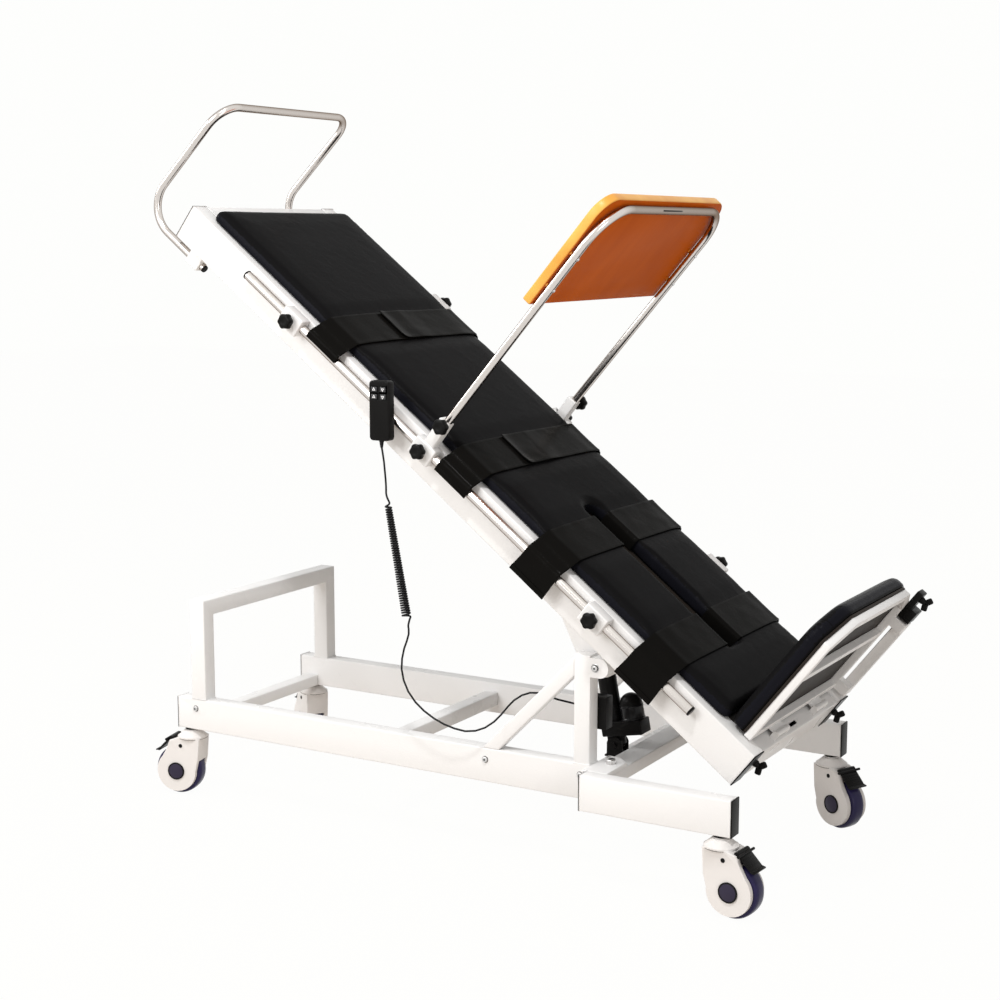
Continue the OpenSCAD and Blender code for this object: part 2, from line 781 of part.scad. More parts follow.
module deck_panel() {
  color("dimgray") on_table()
    block([end_member_w, -side_inner, -deck_t], [table_l - 2 * end_member_w, 2 * side_inner, deck_t]);
}

module frame_end_caps() {
  plug = tube_wall + cap_gap;
  color(black_plastic) on_table() difference() {
    both_sides() for (foot = [0, 1]) {
      block([foot == 1 ? table_l : -cap_plate, -table_half, -side_depth], [cap_plate, side_w, side_depth]);
      block([foot == 1 ? table_l - cap_plug : 0, -table_half + plug, -side_depth + plug],
        [cap_plug, side_w - 2 * plug, side_depth - 2 * plug]);
    }
    translate([table_l - cap_plug, wing_low_far_y, wing_low_n]) rotate([0, 90, 0])
      cylinder(r = knob_stud_r + run_gap, h = cap_plug + cap_plate + cut, $fn = fine);
  }
}

module pivot_hangers() {
  p = [pivot_along, -pivot_drop];
  color(white_coat) on_table() both_sides() difference() {
    union() {
      translate([p[0], -hanger_near_y + hanger_t, p[1]]) rotate([90, 0, 0]) linear_extrude(hanger_t)
        polygon([[-hanger_head_l, hanger_rise], [-hanger_head_l, hanger_toe], [-hanger_heel_l, -hanger_heel],
          [0, -hanger_boss_r], [hanger_foot_l, hanger_shoulder], [hanger_foot_l, hanger_rise]]);
      rod_y(p, hanger_boss_r, -hanger_near_y, -hanger_near_y + hanger_t);
    }
    rod_y(p, pivot_pin_d / 2 + run_gap, -hanger_near_y - cut, -hanger_near_y + hanger_t + cut);
  }
}

module side_rails() {
  color(steel) on_table() both_sides() translate([side_rail_start, -side_rail_y, -side_rail_drop])
    rotate([0, 90, 0]) cylinder(r = side_rail_d / 2, h = side_rail_end - side_rail_start, $fn = fine);
}

module rail_block_row(top, knob_n) {
  difference() {
    union() {
      for (s = block_places)
        block([s - block_l / 2, -block_out, -block_drop], [block_l, block_out - table_half, block_drop + top]);
      block([tray_along - socket_w / 2, -tray_half - socket_w / 2, -socket_floor],
        [socket_w, socket_w, socket_floor + socket_h]);
    }
    translate([side_rail_start, -side_rail_y, -side_rail_drop]) rotate([0, 90, 0])
      cylinder(r = side_rail_d / 2 + run_gap, h = side_rail_end - side_rail_start, $fn = fine);
    translate([tray_along, -tray_half, 0]) rotate([0, tray_lean, 0])
      cylinder(r = bent_tube_d / 2 + run_gap, h = 2 * socket_h, $fn = fine);
    for (s = block_places)
      rod_y([s, knob_n], knob_stud_r + run_gap, -block_out - cut, -block_out + knob_stud_l);
    rod_y([tray_knob_s, tray_knob_n], knob_stud_r + run_gap, -tray_half - socket_w / 2 - cut, -tray_half);
  }
}

module rail_blocks() {
  color(white_coat) on_table() {
    rail_block_row(0, -side_rail_drop);
    mirror([0, 1, 0]) rail_block_row(far_block_rise, far_knob_n);
  }
}

// Star knob with its neck and stud, turning about Z, its seat at zero
module star_knob(stud) {
  translate([0, 0, -stud]) cylinder(r = knob_stud_r, h = stud + knob_neck_l, $fn = fine);
  translate([0, 0, cap_gap]) cylinder(r = knob_neck_r, h = knob_neck_l, $fn = fine);
  translate([0, 0, knob_neck_l]) {
    cylinder(r = knob_r, h = knob_t, $fn = fine);
    for (k = [0 : knob_lobes - 1]) rotate([0, 0, 360 * k / knob_lobes]) translate([knob_r - sunk, 0, 0])
      cylinder(r = knob_lobe_r, h = knob_t, $fn = fine / 2);
  }
}

module rail_knob(index, side) {
  color(black_plastic) on_table() scale([1, side, 1])
    translate([block_places[index], block_out, side < 0 ? -side_rail_drop : far_knob_n])
    rotate([-90, 0, 0]) star_knob(block_stud_l);
}

module tray_knob(side) {
  color(black_plastic) on_table() scale([1, side, 1])
    translate([tray_knob_s, tray_half + socket_w / 2, tray_knob_n]) rotate([-90, 0, 0])
    star_knob(socket_w / 2 - bent_tube_d / 2 - cap_gap);
}

// Mattress: rounded outline with drawn-in sides and a crowned top, cut by the slot
// Rings of the crowned top: share of the width, share of the rise
crown_share = [0.97, 0.8, 0.4];
crown_rise = [0.35, 0.8, 1];
crown_end_share = 0.3;
// Rings of the side: share of the height, growth beyond the outline
pad_layer_shares = [[0, -4], [0.22, 0], [0.56, 0.6], [0.81, -1.5], [0.93, -4.5], [1, -10]];
pad_layers = [for (layer = pad_layer_shares) [layer[0] * pad_edge_t, layer[1]]];
pad_corner_steps = 5;

// Outline grown outwards, or drawn in where the distance is negative
function grown(points, d) = let (n = len(points)) [for (i = [0 : n - 1])
  let (a = points[i] - points[(i + n - 1) % n], b = points[(i + 1) % n] - points[i],
    na = [a[1], -a[0]] / norm(a), nb = [b[1], -b[0]] / norm(b))
  points[i] + d * (na + nb) / (1 + na * nb)];

// Outline with each corner rounded off over a length of its sides
function rounded(points, r, steps = 3) = let (n = len(points)) [for (i = [0 : n - 1])
  let (p = points[i], a = points[(i + n - 1) % n] - p, b = points[(i + 1) % n] - p,
    from = p + r * a / norm(a), to = p + r * b / norm(b))
  for (k = [0 : steps]) let (t = k / steps) pow(1 - t, 2) * from + 2 * t * (1 - t) * p + t * t * to];

// Cushion: rings of the outline up its side, then a crowned top
module cushion(outline, layers, crown, middle) {
  last_layer = layers[len(layers) - 1];
  edge = grown(outline, last_layer[1]);
  side_rings = [for (layer = layers) [for (p = grown(outline, layer[1])) [p[0], p[1], layer[0]]]];
  top_rings = [for (j = [0 : 2]) let (long_share = 1 - (1 - crown_share[j]) * crown_end_share)
    [for (p = edge) [middle[0] + (p[0] - middle[0]) * long_share,
      middle[1] + (p[1] - middle[1]) * crown_share[j], last_layer[0] + crown * crown_rise[j]]]];
  rings = concat(side_rings, top_rings);
  count = len(outline);
  top = len(rings) - 1;
  walls = [for (i = [0 : top - 1]) for (k = [0 : count - 1]) for (half = [0, 1])
    let (a = i * count + k, b = i * count + (k + 1) % count)
    half == 0 ? [a, a + count, b] : [b, a + count, b + count]];
  floor_face = [for (k = [1 : count - 2]) [0, k, k + 1]];
  top_face = [for (k = [1 : count - 2]) [top * count, top * count + k + 1, top * count + k]];
  polyhedron(points = [for (ring = rings) for (p = ring) p],
    faces = concat(walls, floor_face, top_face), convexity = 4);
}

module mattress() {
  slot_r = slot_w / 2;
  color(black_plastic) on_table() difference() {
    translate([0, 0, pad_floor]) cushion(rounded([[pad_start, -pad_half], [pad_end, -pad_half],
      [pad_end, pad_half], [pad_start, pad_half]], pad_corner, pad_corner_steps), pad_layers, pad_crown,
      [(pad_start + pad_end) / 2, 0]);
    translate([slot_start + slot_r, -slot_offset, -cut]) {
      cylinder(r = slot_r, h = pad_edge_t + pad_crown + 2 * cut, $fn = fine / 2);
      block([0, -slot_r, 0], [slot_end - slot_start - slot_r, slot_w, pad_edge_t + pad_crown + 2 * cut]);
    }
  }
}

// Straps: bands drawn in the cross-section of the table, then given their width
function band(points, t) = let (last = len(points) - 1,
  normals = [for (i = [0 : last]) let (v = points[min(i + 1, last)] - points[max(i - 1, 0)])
    [-v[1], v[0]] / norm(v)])
  concat([for (i = [0 : last]) points[i]], [for (i = [last : -1 : 0]) points[i] + t * normals[i]]);

// Height of the mattress at a distance from the centreline, and a point that lies on it
pad_top = pad_floor + pad_edge_t;
pad_flat = pad_half + pad_layers[len(pad_layers) - 1][1];
function pad_height(y) = lookup(abs(y), concat([[0, pad_top + pad_crown]],
  [for (j = [2 : -1 : 0]) [pad_flat * crown_share[j], pad_top + pad_crown * crown_rise[j]]],
  [[pad_flat, pad_top]]));
strap_lift = 0.4;
function over(y, lift = 0) = [y, pad_height(y) + strap_lift + lift];

// Folds of a strap: distance outside the rail, the frame or the pad's edge, and height
long_tail = 50;
long_tail_out = 22;
long_tail_bow = 16;
bow_share = 0.6;
short_tail_out = 12;
rail_folds = [[11.8, -14], [7.5, -3]];
frame_folds = [[6, 8], [-5, 17.5]];
pad_folds = [[4, -3], [-3, 0.4], [-11, 1.4]];
// Places where a strap touches the pad, as shares of half its width
pad_place_shares = [0.9084, 0.7718, 0.5908, 0.384];
place_room = 12;

// Path from the tail, outside the steel rail and over the pad's edge, to the points on the pad
function strap_path(tail, on_pad) = concat(
  tail > long_tail
    ? [[-side_rail_y - long_tail_out, -tail], [-side_rail_y - long_tail_bow, -tail * bow_share]]
    : [[-side_rail_y - short_tail_out, -tail]],
  [for (p = rail_folds) [-side_rail_y - p[0], p[1]]],
  [for (p = frame_folds) [-table_half - p[0], p[1]]],
  [for (p = pad_folds) [-pad_half - p[0], pad_top + p[1]]],
  [for (share = pad_place_shares) let (y = -pad_half * share) if (y < on_pad[0][0] - place_room) over(y)], on_pad);

module strap(s, path) {
  translate([s + strap_w / 2, 0, 0]) rotate([90, 0, -90]) mirror([1, 0, 0])
    linear_extrude(strap_w) polygon(band(path, strap_t));
}

// The far half laps over the near one and ends in a flap
under_lap = 8;
lap_rise = [52, 26, 10];
lap_ease = 0.2;
flap_bend = 30;
module crossing_strap(s, tail, flap_y) {
  lap = strap_t + soft_gap;
  strap(s, strap_path(tail, [over(0), over(under_lap)]));
  mirror([0, 1, 0]) strap(s, strap_path(tail, [over(-lap_rise[0]), over(-lap_rise[1], lap_ease),
    over(-lap_rise[2], lap), over(0, lap + lap_ease), over(-flap_y - flap_bend, lap + lap_ease),
    over(-flap_y, lap + 3 * lap_ease)]));
}

module body_straps() {
  color(black_plastic) on_table() {
    crossing_strap(chest_strap_s, chest_tail, chest_flap_y);
    crossing_strap(hip_strap_s, hip_tail, hip_flap_y);
  }
}

// Path of a leg strap: over the pad, then down the wall of the slot to the deck. The fold's
// points are distances past the slot's edge and heights over the pad
slot_room = 14;
slot_fold = [[-1, 0.8], [0.9, -0.4], [1, -8]];
function slot_path(edge) = strap_path(leg_tail, concat([over(edge - slot_room)],
  [for (p = slot_fold) [edge + p[0], pad_height(edge) + p[1]]], [[edge + slot_fold[2][0], 2 * soft_gap]]));

module leg_straps() {
  color(black_plastic) on_table() for (s = [knee_strap_s, ankle_strap_s]) {
    strap(s, slot_path(-slot_offset - slot_w / 2));
    mirror([0, 1, 0]) strap(s, slot_path(slot_offset - slot_w / 2));
  }
}

// Head handle and its sockets
handle_half = table_half - handle_inset;
handle_socket_s = 50;
handle_socket_l = 42;
handle_socket_w = 32;
handle_socket_rise = 2;
handle_socket_low = handle_socket_rise - handle_drop - handle_socket_w / 2;
handle_leg_end = 100;
handle_turn = 90 + handle_lean;

module handle_sockets() {
  color(white_coat) on_table() both_sides() difference() {
    block([handle_socket_s, -handle_half - handle_socket_w / 2, handle_socket_low],
      [handle_socket_l, handle_socket_w, -side_depth - handle_socket_low]);
    translate([handle_socket_s - cut, -handle_half, -handle_drop]) rotate([0, 90, 0])
      cylinder(r = bent_tube_d / 2 + run_gap, h = handle_socket_l + 2 * cut, $fn = fine);
  }
}

module head_handle() {
  // Height and set-back that the lower bend takes
  bend_up = handle_bend * (1 - cos(handle_turn));
  rise = (handle_top + handle_drop - bend_up) / cos(handle_lean) - handle_corner;
  leg = handle_leg_end + handle_reach - handle_bend;
  across = 2 * (handle_half - handle_corner);
  color(steel) on_table() translate([handle_leg_end, -handle_half, -handle_drop]) rotate([0, 0, 180])
    bent_tube(bent_tube_d / 2, [
      [leg], [handle_bend, handle_turn, 90], [rise], [handle_corner, 90, 90], [across],
      [handle_corner, 90, 0], [rise], [handle_bend, handle_turn, -90], [leg]]);
}

// Tray
module in_tray() {
  on_table() translate([tray_along, 0, 0]) rotate([0, tray_lean, 0]) children();
}

tray_rod_r = bent_tube_d / 2;
tray_foot_n = 1;
tray_leg = tray_top - tray_bend - tray_foot_n;

module tray_frame() {
  across = 2 * (tray_half - tray_bend);
  color(steel) in_tray() translate([0, -tray_half, tray_foot_n]) rotate([0, -90, 0])
    bent_tube(tray_rod_r, [[tray_leg], [tray_bend, 90, 0], [across], [tray_bend, 90, 0], [tray_leg]]);
}

// The board stands off the tubes on four short spacers
board_w = 2 * (tray_half + board_over);
board_gap = 3.5;
board_drop = 281;
board_low = tray_top - board_drop;
spacer_r = 5;
spacer_shares = [0.2, 0.5];

module tray_board() {
  back = -tray_rod_r - board_gap;
  color(wood_colour) in_tray() {
    translate([back, 0, board_low]) rotate([0, -90, 0]) linear_extrude(board_t) difference() {
      union() {
        translate([0, -board_w / 2]) square([board_h - board_corner, board_w]);
        translate([board_h - board_corner - cut, -board_w / 2 + board_corner])
          square([board_corner + cut, board_w - 2 * board_corner]);
        for (side = [-1, 1]) translate([board_h - board_corner, side * (board_w / 2 - board_corner)])
          circle(r = board_corner, $fn = fine);
      }
    }
    for (y = [-tray_half, tray_half]) for (share = spacer_shares)
      translate([back, y, board_low + share * board_h]) rotate([0, 90, 0])
        cylinder(r = spacer_r, h = board_gap - soft_gap / 2, $fn = fine / 2);
  }
}

// Footplate: everything is drawn along, across and square to the table
foot_half = table_half - foot_side_inset;
foot_face = table_l - foot_pad_inset;
foot_back = foot_face + foot_pad_t;
foot_board_t = 6;
foot_frame_s = foot_back + foot_board_t;
foot_hinge_inset = 14;
foot_hinge_s = table_l - foot_hinge_inset;
foot_hinge_n = 6;
leaf_t = 6;
leaf_drop = 4;
stay_out = 2;
stay_y = foot_half + stay_out;
stay_w = 16;
stay_l = 26;
stay_high = 236;
stay_rise = 3;
stay_low = foot_hinge_n + stay_rise;

// Outline of the footplate: height above the frame, distance across
function foot_outline(inset, low) = let (h = foot_half - inset, top = foot_h - inset,
    cut_w = foot_cut_w - inset / 2)
  [[low, -h], [top - foot_cut_h, -h], [top, -h + cut_w], [top, h - cut_w], [top - foot_cut_h, h], [low, h]];

// A plate standing across the table
module standing(s, t, points) {
  translate([s + t, 0, 0]) rotate([0, -90, 0]) linear_extrude(t) polygon(points);
}

foot_inset = 8;
foot_bar_share = 0.5205;
foot_bar_n = foot_h * foot_bar_share;
foot_lift = 4;
foot_frame_end = foot_frame_s + foot_tube;
knuckle_r = 7;
knuckle_l = 60;
knuckle_places = [-150, 90];
hinge_pin_r = 4;
link_h = 26;

// Clamp on the stay: a body and an upright lug, placed by their distance inside the foot pad's edge
clamp_n = 250;
clamp_in = 24;
clamp_size = [32, 44, 34];
lug_in = 30;
lug_size = [16, 34, 46];
lug_screw_n = 30;
clamp_screw = [foot_frame_end + lug_size[0], foot_half - lug_in + lug_size[1] / 2,
  clamp_n + clamp_size[2] + lug_screw_n];

module footplate_frame() {
  inner = foot_half - foot_inset - foot_tube;
  color(white_coat) on_table() difference() {
    union() {
      difference() {
        standing(foot_frame_s, foot_tube, foot_outline(foot_inset, foot_lift));
        standing(foot_frame_s - cut, foot_tube + 2 * cut,
          foot_outline(foot_inset + foot_tube, foot_lift + foot_tube));
      }
      block([foot_frame_s, -inner, foot_bar_n], [foot_tube, 2 * inner, foot_tube]);
      // Stay on the far side, with a link to the frame at each end
      block([foot_hinge_s - stay_l / 2, stay_y, stay_low], [stay_l, stay_w, stay_high]);
      for (n = [stay_low, stay_low + stay_high - link_h])
        block([foot_frame_end - foot_tube, inner, n], [foot_hinge_s + stay_l / 2 - foot_frame_end + foot_tube,
          stay_y - inner, link_h]);
      // Hinge leaves
      for (y = knuckle_places) {
        rod_y([foot_hinge_s, foot_hinge_n], knuckle_r, y, y + knuckle_l);
        block([foot_frame_s, y, foot_hinge_n - leaf_drop], [foot_hinge_s - foot_frame_s, knuckle_l, leaf_t]);
      }
    }
    for (y = knuckle_places)
      rod_y([foot_hinge_s, foot_hinge_n], hinge_pin_r + run_gap, y - cut, y + knuckle_l + cut);
  }
}

foot_board_inset = 5;
foot_board_low = 6;
foot_board_corner = 14;

module foot_board() {
  color("dimgray") on_table()
    standing(foot_back, foot_board_t, rounded(foot_outline(foot_board_inset, foot_board_low), foot_board_corner));
}

foot_pad_low = 5;
foot_pad_corner = 22;
foot_layer_shares = [[0, -3], [0.135, 0], [0.38, 0.8], [0.65, -0.5], [0.81, -4], [0.89, -9]];
foot_layers = [for (layer = foot_layer_shares) [layer[0] * foot_pad_t, layer[1]]];

module foot_pad() {
  crown = foot_pad_t - foot_layers[len(foot_layers) - 1][0];
  color("black") on_table() translate([foot_back - soft_gap, 0, 0]) rotate([0, -90, 0])
    cushion(rounded(foot_outline(0, foot_pad_low), foot_pad_corner), foot_layers, crown - soft_gap,
      [foot_h / 2, 0]);
}

// Black clamp that holds the top of the stay, with the seat of its wing screw
module stay_clamp() {
  color(black_plastic) on_table() difference() {
    union() {
      block([foot_frame_end, foot_half - clamp_in, clamp_n], clamp_size);
      block([foot_frame_end, foot_half - lug_in, clamp_n + clamp_size[2]], lug_size);
    }
    translate(clamp_screw - [wing_stud_l + cut, 0, 0]) rotate([0, 90, 0])
      cylinder(r = knob_stud_r + run_gap, h = wing_stud_l + 2 * cut, $fn = fine);
  }
}

// Wing screw about Z, its seat at zero
wing_stud_l = 8;
wing_boss_r = 8;
wing_boss_l = 12;
wing_out = 13;
wing_turn = 30;
wing_size = [18, 7, 12];
module wing_screw() {
  translate([0, 0, -wing_stud_l]) cylinder(r = knob_stud_r, h = wing_stud_l + wing_boss_l / 2, $fn = fine);
  translate([0, 0, cap_gap]) cylinder(r = wing_boss_r, h = wing_boss_l, $fn = fine);
  for (side = [-1, 1]) translate([side * wing_out, 0, wing_boss_l]) rotate([0, side * wing_turn, 0])
    cube(wing_size, center = true);
}

module wing_at(seat) {
  color(black_plastic) on_table() translate(seat) rotate([0, 90, 0]) wing_screw();
}

// Actuator, drawn along Z from its base pin
module in_drive() {
  placed() translate([drive_base_x, drive_y, drive_base_z]) rotate([0, drive_angle, 0]) children();
}

module actuator_body() {
  color(black_plastic) in_drive() difference() {
    union() {
      rod_y([0, 0], drive_eye_r, -drive_eye_w / 2, drive_eye_w / 2);
      block([-drive_eye_r, -drive_eye_w / 2, 0], [2 * drive_eye_r, drive_eye_w, drive_neck_h]);
      block([-drive_case_back, -drive_case_w / 2, drive_case_start], [drive_case_l, drive_case_w, drive_case_h]);
      cylinder(r = drive_tube_d / 2, h = drive_tube_l, $fn = fine);
      translate([drive_motor_x, 0, drive_motor_start])
        cylinder(r = drive_motor_r, h = drive_motor_z - drive_motor_start, $fn = fine);
      translate([drive_motor_x, 0, drive_motor_z]) sphere(r = drive_motor_r, $fn = fine);
    }
    rod_y([0, 0], drive_pin_d / 2 + run_gap, -drive_eye_w, drive_eye_w);
    translate([0, 0, drive_bore_start]) cylinder(r = drive_bore_d / 2, h = drive_tube_l, $fn = fine);
    for (y = [drive_eye_w / 2, -drive_eye_w / 2 - drive_tube_d])
      block([-drive_tube_d, y, -drive_tube_d],
        [2 * drive_tube_d, drive_tube_d, drive_tube_d + drive_case_start - cut]);
  }
}

module actuator_rod() {
  color(steel) in_drive() translate([0, 0, drive_length]) difference() {
    union() {
      rod_y([0, 0], drive_eye_r, -drive_eye_w / 2, drive_eye_w / 2);
      translate([0, 0, -drive_rod_l]) cylinder(r = drive_rod_d / 2, h = drive_rod_l, $fn = fine);
    }
    rod_y([0, 0], drive_pin_d / 2 + run_gap, -drive_eye_w, drive_eye_w);
  }
}

// Handset, drawn in the base's frame: it hangs upright from the near rail
function rounded_box(w, h, c) = [for (q = [0 : 3]) for (k = [0 : 4])
  [(q == 0 || q == 3 ? 1 : -1) * (w / 2 - c), (q < 2 ? 1 : -1) * (h / 2 - c)]
    + c * [cos(90 * q + 22.5 * k), sin(90 * q + 22.5 * k)]];

module handset_shell() {
  mid_z = handset_low_z + handset_h / 2;
  color(black_plastic) {
    placed() difference() {
      translate([handset_x, handset_y + handset_t / 2, mid_z]) rotate([90, 0, 0])
        linear_extrude(handset_t) polygon(rounded_box(handset_w, handset_h, handset_corner));
      for (i = [0 : 3]) button_space(i, button_travel + button_room, cap_gap);
    }
    on_table() translate([rail_at_handset - hook_w / 2, -side_rail_y, -side_rail_drop]) {
      difference() {
        union() {
          rotate([0, 90, 0]) cylinder(r = side_rail_d / 2 + hook_t + run_gap, h = hook_w, $fn = fine);
          block([0, -handset_gap - sunk, -hook_h / 2], [hook_w, handset_gap + sunk, hook_h]);
        }
        rotate([0, 90, 0]) translate([0, 0, -cut])
          cylinder(r = side_rail_d / 2 + run_gap, h = hook_w + 2 * cut, $fn = fine);
        block([-cut, -side_rail_d * hook_open_share, -side_rail_d],
          [hook_w + 2 * cut, side_rail_d, 2 * side_rail_d]);
      }
    }
  }
}

function button_centre(i) = [handset_x + (i % 2 == 0 ? -1 : 1) * button_half_pitch,
  handset_low_z + handset_h - (i < 2 ? button_top_drop : button_low_drop)];

module button_space(i, depth, gap) {
  c = button_centre(i);
  block([c[0] - button_w / 2 - gap, handset_y - handset_t / 2 - cut, c[1] - button_h / 2 - gap],
    [button_w + 2 * gap, depth + cut, button_h + 2 * gap]);
}

module handset_button(i) {
  c = button_centre(i);
  color("gray") placed()
    block([c[0] - button_w / 2, handset_y - handset_t / 2 - button_t / 2, c[1] - button_h / 2],
      [button_w, button_t / 2 + button_root, button_h]);
}

module handset_cord() {
  color(black_plastic) placed() {
    swept(lead_points, cord_d / 2, cord_sides);
    swept(tail_points, cord_d / 2, cord_sides);
  }
}

module handset_coil() {
  color(black_plastic) placed() swept([curl_top, curl_low], curly_d / 2, curly_sides);
}

main_rails();
cross_members();
front_legs();
pivot_posts();
diagonal_braces();
head_arch();
rail_end_caps();
frame_bolts();
actuator_bracket();
control_box();
caster_fork(0);  // caster_fork_near_head
caster_wheel(0);  // caster_wheel_near_head
caster_pedal(0);  // caster_pedal_near_head
caster_fork(1);  // caster_fork_far_head
caster_wheel(1);  // caster_wheel_far_head
caster_pedal(1);  // caster_pedal_far_head
caster_fork(2);  // caster_fork_near_foot
caster_wheel(2);  // caster_wheel_near_foot
caster_pedal(2);  // caster_pedal_near_foot
caster_fork(3);  // caster_fork_far_foot
caster_wheel(3);  // caster_wheel_far_foot
caster_pedal(3);  // caster_pedal_far_foot
side_members();
table_cross_members();
deck_panel();
frame_end_caps();
pivot_hangers();
side_rails();
rail_blocks();
mattress();
body_straps();
leg_straps();
handle_sockets();
head_handle();
tray_frame();
tray_board();
rail_knob(0, -1);  // star_knob_near_head
rail_knob(0, 1);  // star_knob_far_head
rail_knob(1, -1);  // star_knob_near_tray
rail_knob(1, 1);  // star_knob_far_tray
rail_knob(2, -1);  // star_knob_near_foot
rail_knob(2, 1);  // star_knob_far_foot
tray_knob(-1);  // tray_knob_near
tray_knob(1);  // tray_knob_far
footplate_frame();
foot_board();
foot_pad();
stay_clamp();
wing_at([table_l, wing_low_near_y, wing_low_n]);  // wing_screw_near
wing_at([table_l + cap_plate, wing_low_far_y, wing_low_n]);  // wing_screw_far
wing_at(clamp_screw);  // wing_screw_stay
actuator_body();
actuator_rod();
handset_shell();
handset_button(0);  // handset_button_1
handset_button(1);  // handset_button_2
handset_button(2);  // handset_button_3
handset_button(3);  // handset_button_4
handset_cord();
handset_coil();
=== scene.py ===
# Physiotherapy tilt table: its finishes and soft parts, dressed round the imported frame.
# Lengths are in metres. +X runs from the head end to the foot end, and +Z is up.
import math

import bmesh
import bpy
import json
from mathutils import Matrix, Vector, noise
from mathutils.bvhtree import BVHTree


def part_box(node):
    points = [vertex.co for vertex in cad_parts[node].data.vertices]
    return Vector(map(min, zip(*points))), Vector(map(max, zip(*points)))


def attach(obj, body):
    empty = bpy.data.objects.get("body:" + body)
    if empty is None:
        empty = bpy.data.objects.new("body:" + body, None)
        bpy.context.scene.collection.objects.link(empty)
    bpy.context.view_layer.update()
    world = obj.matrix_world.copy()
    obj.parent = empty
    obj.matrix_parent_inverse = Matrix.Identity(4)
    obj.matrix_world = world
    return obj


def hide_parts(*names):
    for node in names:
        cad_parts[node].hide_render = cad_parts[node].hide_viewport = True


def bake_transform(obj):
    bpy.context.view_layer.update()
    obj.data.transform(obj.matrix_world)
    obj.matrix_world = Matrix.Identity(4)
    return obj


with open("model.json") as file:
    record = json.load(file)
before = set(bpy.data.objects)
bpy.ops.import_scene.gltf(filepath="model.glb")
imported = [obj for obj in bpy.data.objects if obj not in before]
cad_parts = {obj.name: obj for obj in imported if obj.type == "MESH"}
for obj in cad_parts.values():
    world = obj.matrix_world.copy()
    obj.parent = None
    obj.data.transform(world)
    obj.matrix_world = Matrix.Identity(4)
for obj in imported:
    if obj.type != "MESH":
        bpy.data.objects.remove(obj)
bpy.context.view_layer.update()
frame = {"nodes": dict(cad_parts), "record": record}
scene = bpy.context.scene
scene.view_settings.view_transform = "Standard"


# The view: a camera at chest height off the near foot corner, looking across the table
# towards its head end, on a lens a little longer than normal.
camera_data = bpy.data.cameras.new("camera")
camera_data.lens = 63.41
camera = bpy.data.objects.new("camera", camera_data)
camera.location = (2.0768, -3.6603, 1.4244)
camera.rotation_euler = (math.radians(90 - 8.529), 0, math.radians(30.366))
scene.collection.objects.link(camera)
scene.camera = camera


# The handset's cord: one run of round black flex from the handset's foot, through a curly
# stretch wound on a mandrel, and down to the gland of the control box on the near post.
cord_across = 0.0046
cord_sides = 5
curls = 46
curl_steps = 18
curl_radius_top = 0.006
curl_radius_low = 0.0095
curl_lead = 0.004
curl_ends = 0.085
curl_top = Vector((0.687, -0.338, 0.840))
curl_low = Vector((0.746, -0.338, 0.528))
lead_points = [
    (0.676, -0.338, 0.9606), (0.676, -0.338, 0.946), (0.679, -0.338, 0.930), (0.682, -0.338, 0.912),
    (0.684, -0.338, 0.892), (0.686, -0.338, 0.872), (0.687, -0.338, 0.856), (0.687, -0.338, 0.8404)]
tail_points = [
    (0.746, -0.338, 0.5276), (0.746, -0.338, 0.516), (0.741, -0.338, 0.500), (0.733, -0.338, 0.480),
    (0.727, -0.338, 0.455), (0.725, -0.337, 0.430), (0.729, -0.335, 0.404), (0.740, -0.333, 0.378),
    (0.758, -0.330, 0.354), (0.780, -0.328, 0.336), (0.806, -0.326, 0.321), (0.832, -0.323, 0.310),
    (0.858, -0.320, 0.303), (0.884, -0.315, 0.299), (0.908, -0.309, 0.302), (0.928, -0.300, 0.310),
    (0.946, -0.290, 0.324), (0.960, -0.281, 0.341), (0.972, -0.272, 0.359), (0.984, -0.264, 0.374),
    (1.000, -0.256, 0.386), (1.018, -0.250, 0.393), (1.038, -0.245, 0.394), (1.060, -0.240, 0.388),
    (1.082, -0.234, 0.382), (1.106, -0.228, 0.378), (1.128, -0.223, 0.374), (1.145, -0.222, 0.374)]

# Lengths along the base start at the head end of the near rail
rail_low, rail_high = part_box("main_rails")
head_end = Vector((rail_low.x, (rail_low.y + rail_high.y) / 2, 0))


def material(name, colour, roughness, metallic=0.0, shine=0.5):
    """A finish with one even colour, roughness, metalness and strength of shine on its shader."""
    made = bpy.data.materials.new(name)
    made.use_nodes = True
    shader = made.node_tree.nodes["Principled BSDF"]
    shader.inputs["Base Color"].default_value = (*colour, 1)
    shader.inputs["Roughness"].default_value = roughness
    shader.inputs["Metallic"].default_value = metallic
    shader.inputs["Specular IOR Level"].default_value = shine
    return made


def pattern(made, kind, scale, stretch=(1, 1, 1), coordinates="Object", detail=3.0):
    """A noise or cell pattern in real metres, and the node that gives its value."""
    tree = made.node_tree
    place = tree.nodes.new("ShaderNodeTexCoord")
    mapping = tree.nodes.new("ShaderNodeMapping")
    mapping.inputs["Scale"].default_value = stretch
    tree.links.new(place.outputs[coordinates], mapping.inputs["Vector"])
    texture = tree.nodes.new("ShaderNodeTexNoise" if kind == "noise" else "ShaderNodeTexVoronoi")
    texture.inputs["Scale"].default_value = scale
    if kind == "noise":
        texture.inputs["Detail"].default_value = detail
    tree.links.new(mapping.outputs["Vector"], texture.inputs["Vector"])
    return texture.outputs["Fac" if kind == "noise" else "Distance"]


